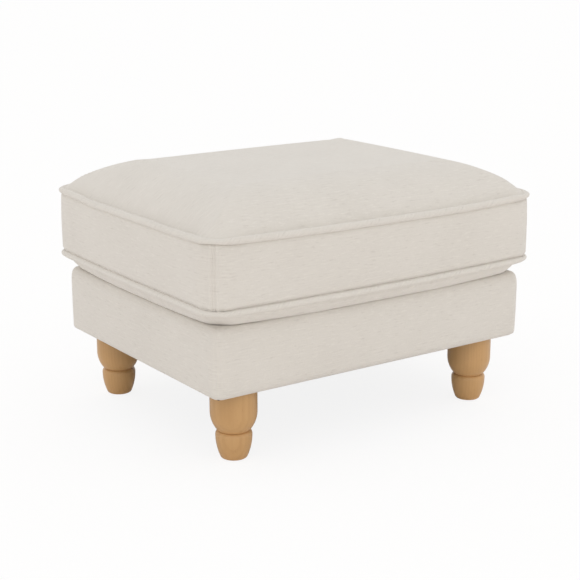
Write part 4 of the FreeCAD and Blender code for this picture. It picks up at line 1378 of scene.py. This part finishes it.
bpy.ops.object.select_all(action="DESELECT")
bpy.ops.mesh.primitive_grid_add(x_subdivisions=96, y_subdivisions=76, size=1, location=(0, 0, 0))
dust_sheet = named("dust_sheet")
dust_sheet.scale = (dust_high.x - dust_low.x, dust_high.y - dust_low.y, 1)
bpy.ops.object.transform_apply(location=True, rotation=True, scale=True)
points = points_of(dust_sheet)
edge = np.minimum(dust_high.x - np.abs(points[:, 0]), dust_high.y - np.abs(points[:, 1]))
from_leg = np.hypot(np.abs(points[:, 0]) - LEG_PLACE[0], np.abs(points[:, 1]) + LEG_PLACE[1])
free = ease(edge, 0.012, 0.09) * ease(from_leg, LEG_CLEARANCE, LEG_CLEARANCE + 0.06)
crumple = 1 + 0.25 * ripple(points * (1, 1, 0), 0.09, 31)
points[:, 2] = dust_high.z - DUST_SAG * free * crumple
set_points(dust_sheet, points)
thicken(dust_sheet, DUST_THICKNESS)
smooth(dust_sheet, 60)
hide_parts("dust_cover")
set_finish(dust_sheet, "dust_cover_cloth")
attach(dust_sheet, "base")
print("dust cover:", len(dust_sheet.data.polygons), "faces")

# %% [markdown]
# ## The zip
#
# The zip is a nylon coil on a woven tape. Seen close, a coil zip is a row of small rounded bars
# that reach in turn from the upper and the lower tape and lock in the middle. One bar is a block
# with its edges bevelled. An array repeats it along the tape, and a second row is set half a pitch
# aside.

# %% Zip coil
PITCH = 0.0016
BAR_WIDTH = 0.0010
BAR_REACH = 0.0034
BAR_OVERLAP = 0.0008
BAR_ROUND = 0.00042
zip_low, zip_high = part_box("zip_coils")
rows = []
for name, shift, way in (("coil_upper", 0, 1), ("coil_lower", PITCH / 2, -1)):
    first_x = zip_low.x + shift
    z_ends = sorted((ZIP_Z - way * BAR_OVERLAP, ZIP_Z + way * (BAR_REACH - BAR_OVERLAP)))
    bar = add_block(
        name,
        (first_x, zip_low.y, z_ends[0]),
        (first_x + BAR_WIDTH, zip_high.y, z_ends[1]),
    )
    bevel_edges(bar, lambda middle, edge: middle.y > zip_high.y - 1e-5, BAR_ROUND, 2)
    apply_modifier(
        bar,
        "ARRAY",
        count=int((zip_high.x - zip_low.x - shift) / PITCH),
        use_relative_offset=False,
        use_constant_offset=True,
        constant_offset_displace=(PITCH, 0, 0),
    )
    smooth(bar, 50)
    rows.append(bar)
choose(rows[0])
rows[1].select_set(True)
bpy.ops.object.join()
zip_coil_bars = named("zip_coil_bars")
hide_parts("zip_coils")
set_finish(zip_coil_bars, "zip_coil")
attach(zip_coil_bars, "cushion")
print("zip coil:", len(zip_coil_bars.data.polygons), "faces")

# %% [markdown]
# ## Sheets of cloth
#
# Every cover panel is a piece of cloth that was cut flat and then sewn up tight over its stuffing.

print("cover panels ready")

# %% [markdown]
# ## Finishes of the inner and small pieces
#
# The pieces that show only from below, or when the cushion is lifted or the cover opened, get
# finishes of their own: open-celled foam, fluffy fibre, cotton cord, jute webbing and hessian, a
# spunbond dust cover, sawn timber, plated steel and moulded plastic. Each is a small pattern on
# Object coordinates, which need no map of the piece.


# %% Soft finishes
def foam(name, colour, pit_shade_and_dark_tone):
    """Open cells: light walls, and small pits darkened with painted shade."""
    slab = Recipe(name, Roughness=0.95)
    here = slab.here()
    cells = slab.node("ShaderNodeTexVoronoi", {}, {"Vector": here, "Scale": 700.0})
    patches = slab.speckle(here, 14.0, 3.0)
    # The pits get painted shade in the darker colour. The soft patches are the foam's own uneven
    # tone.
    share = slab.step_up(cells, 0.05, 0.65) * 0.75 + patches * 0.25
    return slab.finish(slab.blend(share, pit_shade_and_dark_tone, colour), share, 0.0006)


def fibre_wrap(name, colour, shade):
    """Bonded fibre: long thin strands in every direction."""
    wrap = Recipe(name, Roughness=1.0, Sheen_Weight=0.3)
    here = wrap.here()
    bent = wrap.waver(here, here, 60.0, 2.0, (0.02,) * 3)
    strands = wrap.streaks(bent, (1500.0, 160.0, 700.0), 3.0, 0.7)
    share = wrap.step_up(strands, 0.25, 0.75)
    return wrap.finish(wrap.blend(share, shade, colour), strands, 0.0012)


def twisted_cord(name, colour, shade):
    """Cotton cord: strands that wind round it."""
    cord = Recipe(name, Roughness=0.95)
    here = cord.here()
    x, y, z = cord.parts(here)
    strand = cord.step_up(cord.maths("SINE", (x + y) * 900.0 + z * 1400.0), -1.0, 0.6)
    share = strand * 0.7 + cord.speckle(here, 1800.0) * 0.3
    return cord.finish(cord.blend(share, shade, colour), strand, 0.0006)


def jute(name, colour, shade, pitch, gap=0.0):
    """A coarse open weave."""
    cloth = Recipe(name, Roughness=0.95)
    here = cloth.here()
    waves = [cloth.maths("SINE", part * (math.pi / pitch)) for part in cloth.parts(here)[:2]]
    over = cloth.maths("GREATER_THAN", waves[0] * waves[1], 0.0)
    round_x, round_y = (cloth.maths("ABSOLUTE", wave) ** 0.7 for wave in waves)
    body = round_y * over + round_x * (1 - over)
    hair = cloth.streaks(here, (900.0, 900.0, 900.0), 3.0)
    uneven = cloth.speckle(here, 55.0, 3.0)
    share = cloth.step_up(body * 0.6 + hair * 0.25 + uneven * 0.3, 0.15 + gap, 0.95)
    return cloth.finish(cloth.blend(share, shade, colour), body, 0.0009)


def spunbond(name, colour, shade):
    """Pressed fibres with a fine grid of dots."""
    cloth = Recipe(name, Roughness=0.85)
    here = cloth.here()
    x, y, _ = cloth.parts(here)
    dots = cloth.maths("SINE", (x + y) * 2600.0) * cloth.maths("SINE", (x - y) * 2600.0)
    web = cloth.speckle(here, 420.0, 3.0, 0.7)
    share = cloth.step_up(dots * 0.2 + web, 0.3, 0.8)
    return cloth.finish(cloth.blend(share, shade, colour), share, 0.0003)


# The foam's second colour is its darker tone and the painted shade of its pits.
foam_finish = foam("foam", tone(228, 216, 178), tone(196, 180, 138))
fibre_finish = fibre_wrap("fibre", tone(240, 240, 236), tone(206, 206, 202))
cord_finish = twisted_cord("piping_cord", tone(232, 226, 210), tone(190, 180, 160))
webbing_finish = jute("webbing", tone(176, 146, 104), tone(112, 86, 54), 0.0021)
hessian_finish = jute("hessian", tone(186, 158, 116), tone(92, 72, 46), 0.0017, gap=0.1)
dust_finish = spunbond("dust_cover_cloth", tone(52, 52, 54), tone(26, 26, 28))
tape_finish = jute("zip_tape", tone(208, 198, 182), tone(170, 158, 140), 0.0006)
print("soft finishes ready")


# %% Hard finishes
def darker(colour, share):
    """The colour with less light."""
    return tuple(c * share for c in colour)


def metal(name, colour, rough):
    """Plated or bare metal with faint wear."""
    plate = Recipe(name, Metallic=1.0)
    here = plate.here()
    wear = plate.step_up(plate.speckle(here, 260.0, 4.0, 0.6), 0.3, 0.75)
    scratch = plate.streaks(here, (3000.0, 260.0, 260.0))
    shown = plate.blend(wear, darker(colour, 0.8), colour)
    return plate.finish(shown, scratch, 0.00005, scratch * 0.16 + (rough - 0.08), 0.3)


def moulded(name, colour, rough):
    """Moulded plastic with a fine, nearly even skin."""
    shell = Recipe(name)
    here = shell.here()
    skin = shell.speckle(here, 1500.0)
    cloud = shell.step_up(shell.speckle(here, 60.0), 0.3, 0.7)
    shown = shell.blend(cloud, darker(colour, 0.88), colour)
    return shell.finish(shown, skin, 0.00008, skin * 0.12 + rough, 0.5)


steel_finish = metal("steel", tone(196, 196, 192), 0.36)
zip_metal_finish = metal("zip_metal", tone(186, 182, 174), 0.3)
coil_finish = moulded("zip_coil", tone(206, 196, 180), 0.4)
glide_finish = moulded("glide_plastic", tone(104, 78, 54), 0.4)
timber_finish = wood(
    "frame_timber", tone(214, 184, 138), tone(176, 138, 92), 0.35, rough=0.7, along="x"
)
print("hard finishes ready")

# %% Dress every piece
FINISHES = {
    "cushion_fabric": cushion_cloth,
    "piping_fabric": piping_cloth,
    "base_fabric": base_cloth,
    "foam": foam_finish,
    "fibre": fibre_finish,
    "piping_cord": cord_finish,
    "zip_tape": tape_finish,
    "zip_coil": coil_finish,
    "zip_metal": zip_metal_finish,
    "frame_timber": timber_finish,
    "webbing": webbing_finish,
    "hessian": hessian_finish,
    "dust_cover_cloth": dust_finish,
    "leg_wood": leg_wood,
    "steel": steel_finish,
    "glide_plastic": glide_finish,
}
packed_slots = {part["node"]: part["material_slot"] for part in frame["record"]["subparts"]}
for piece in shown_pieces():
    slot = piece.get("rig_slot") or packed_slots.get(piece.name)
    piece.data.materials.clear()
    piece.data.materials.append(FINISHES[slot])
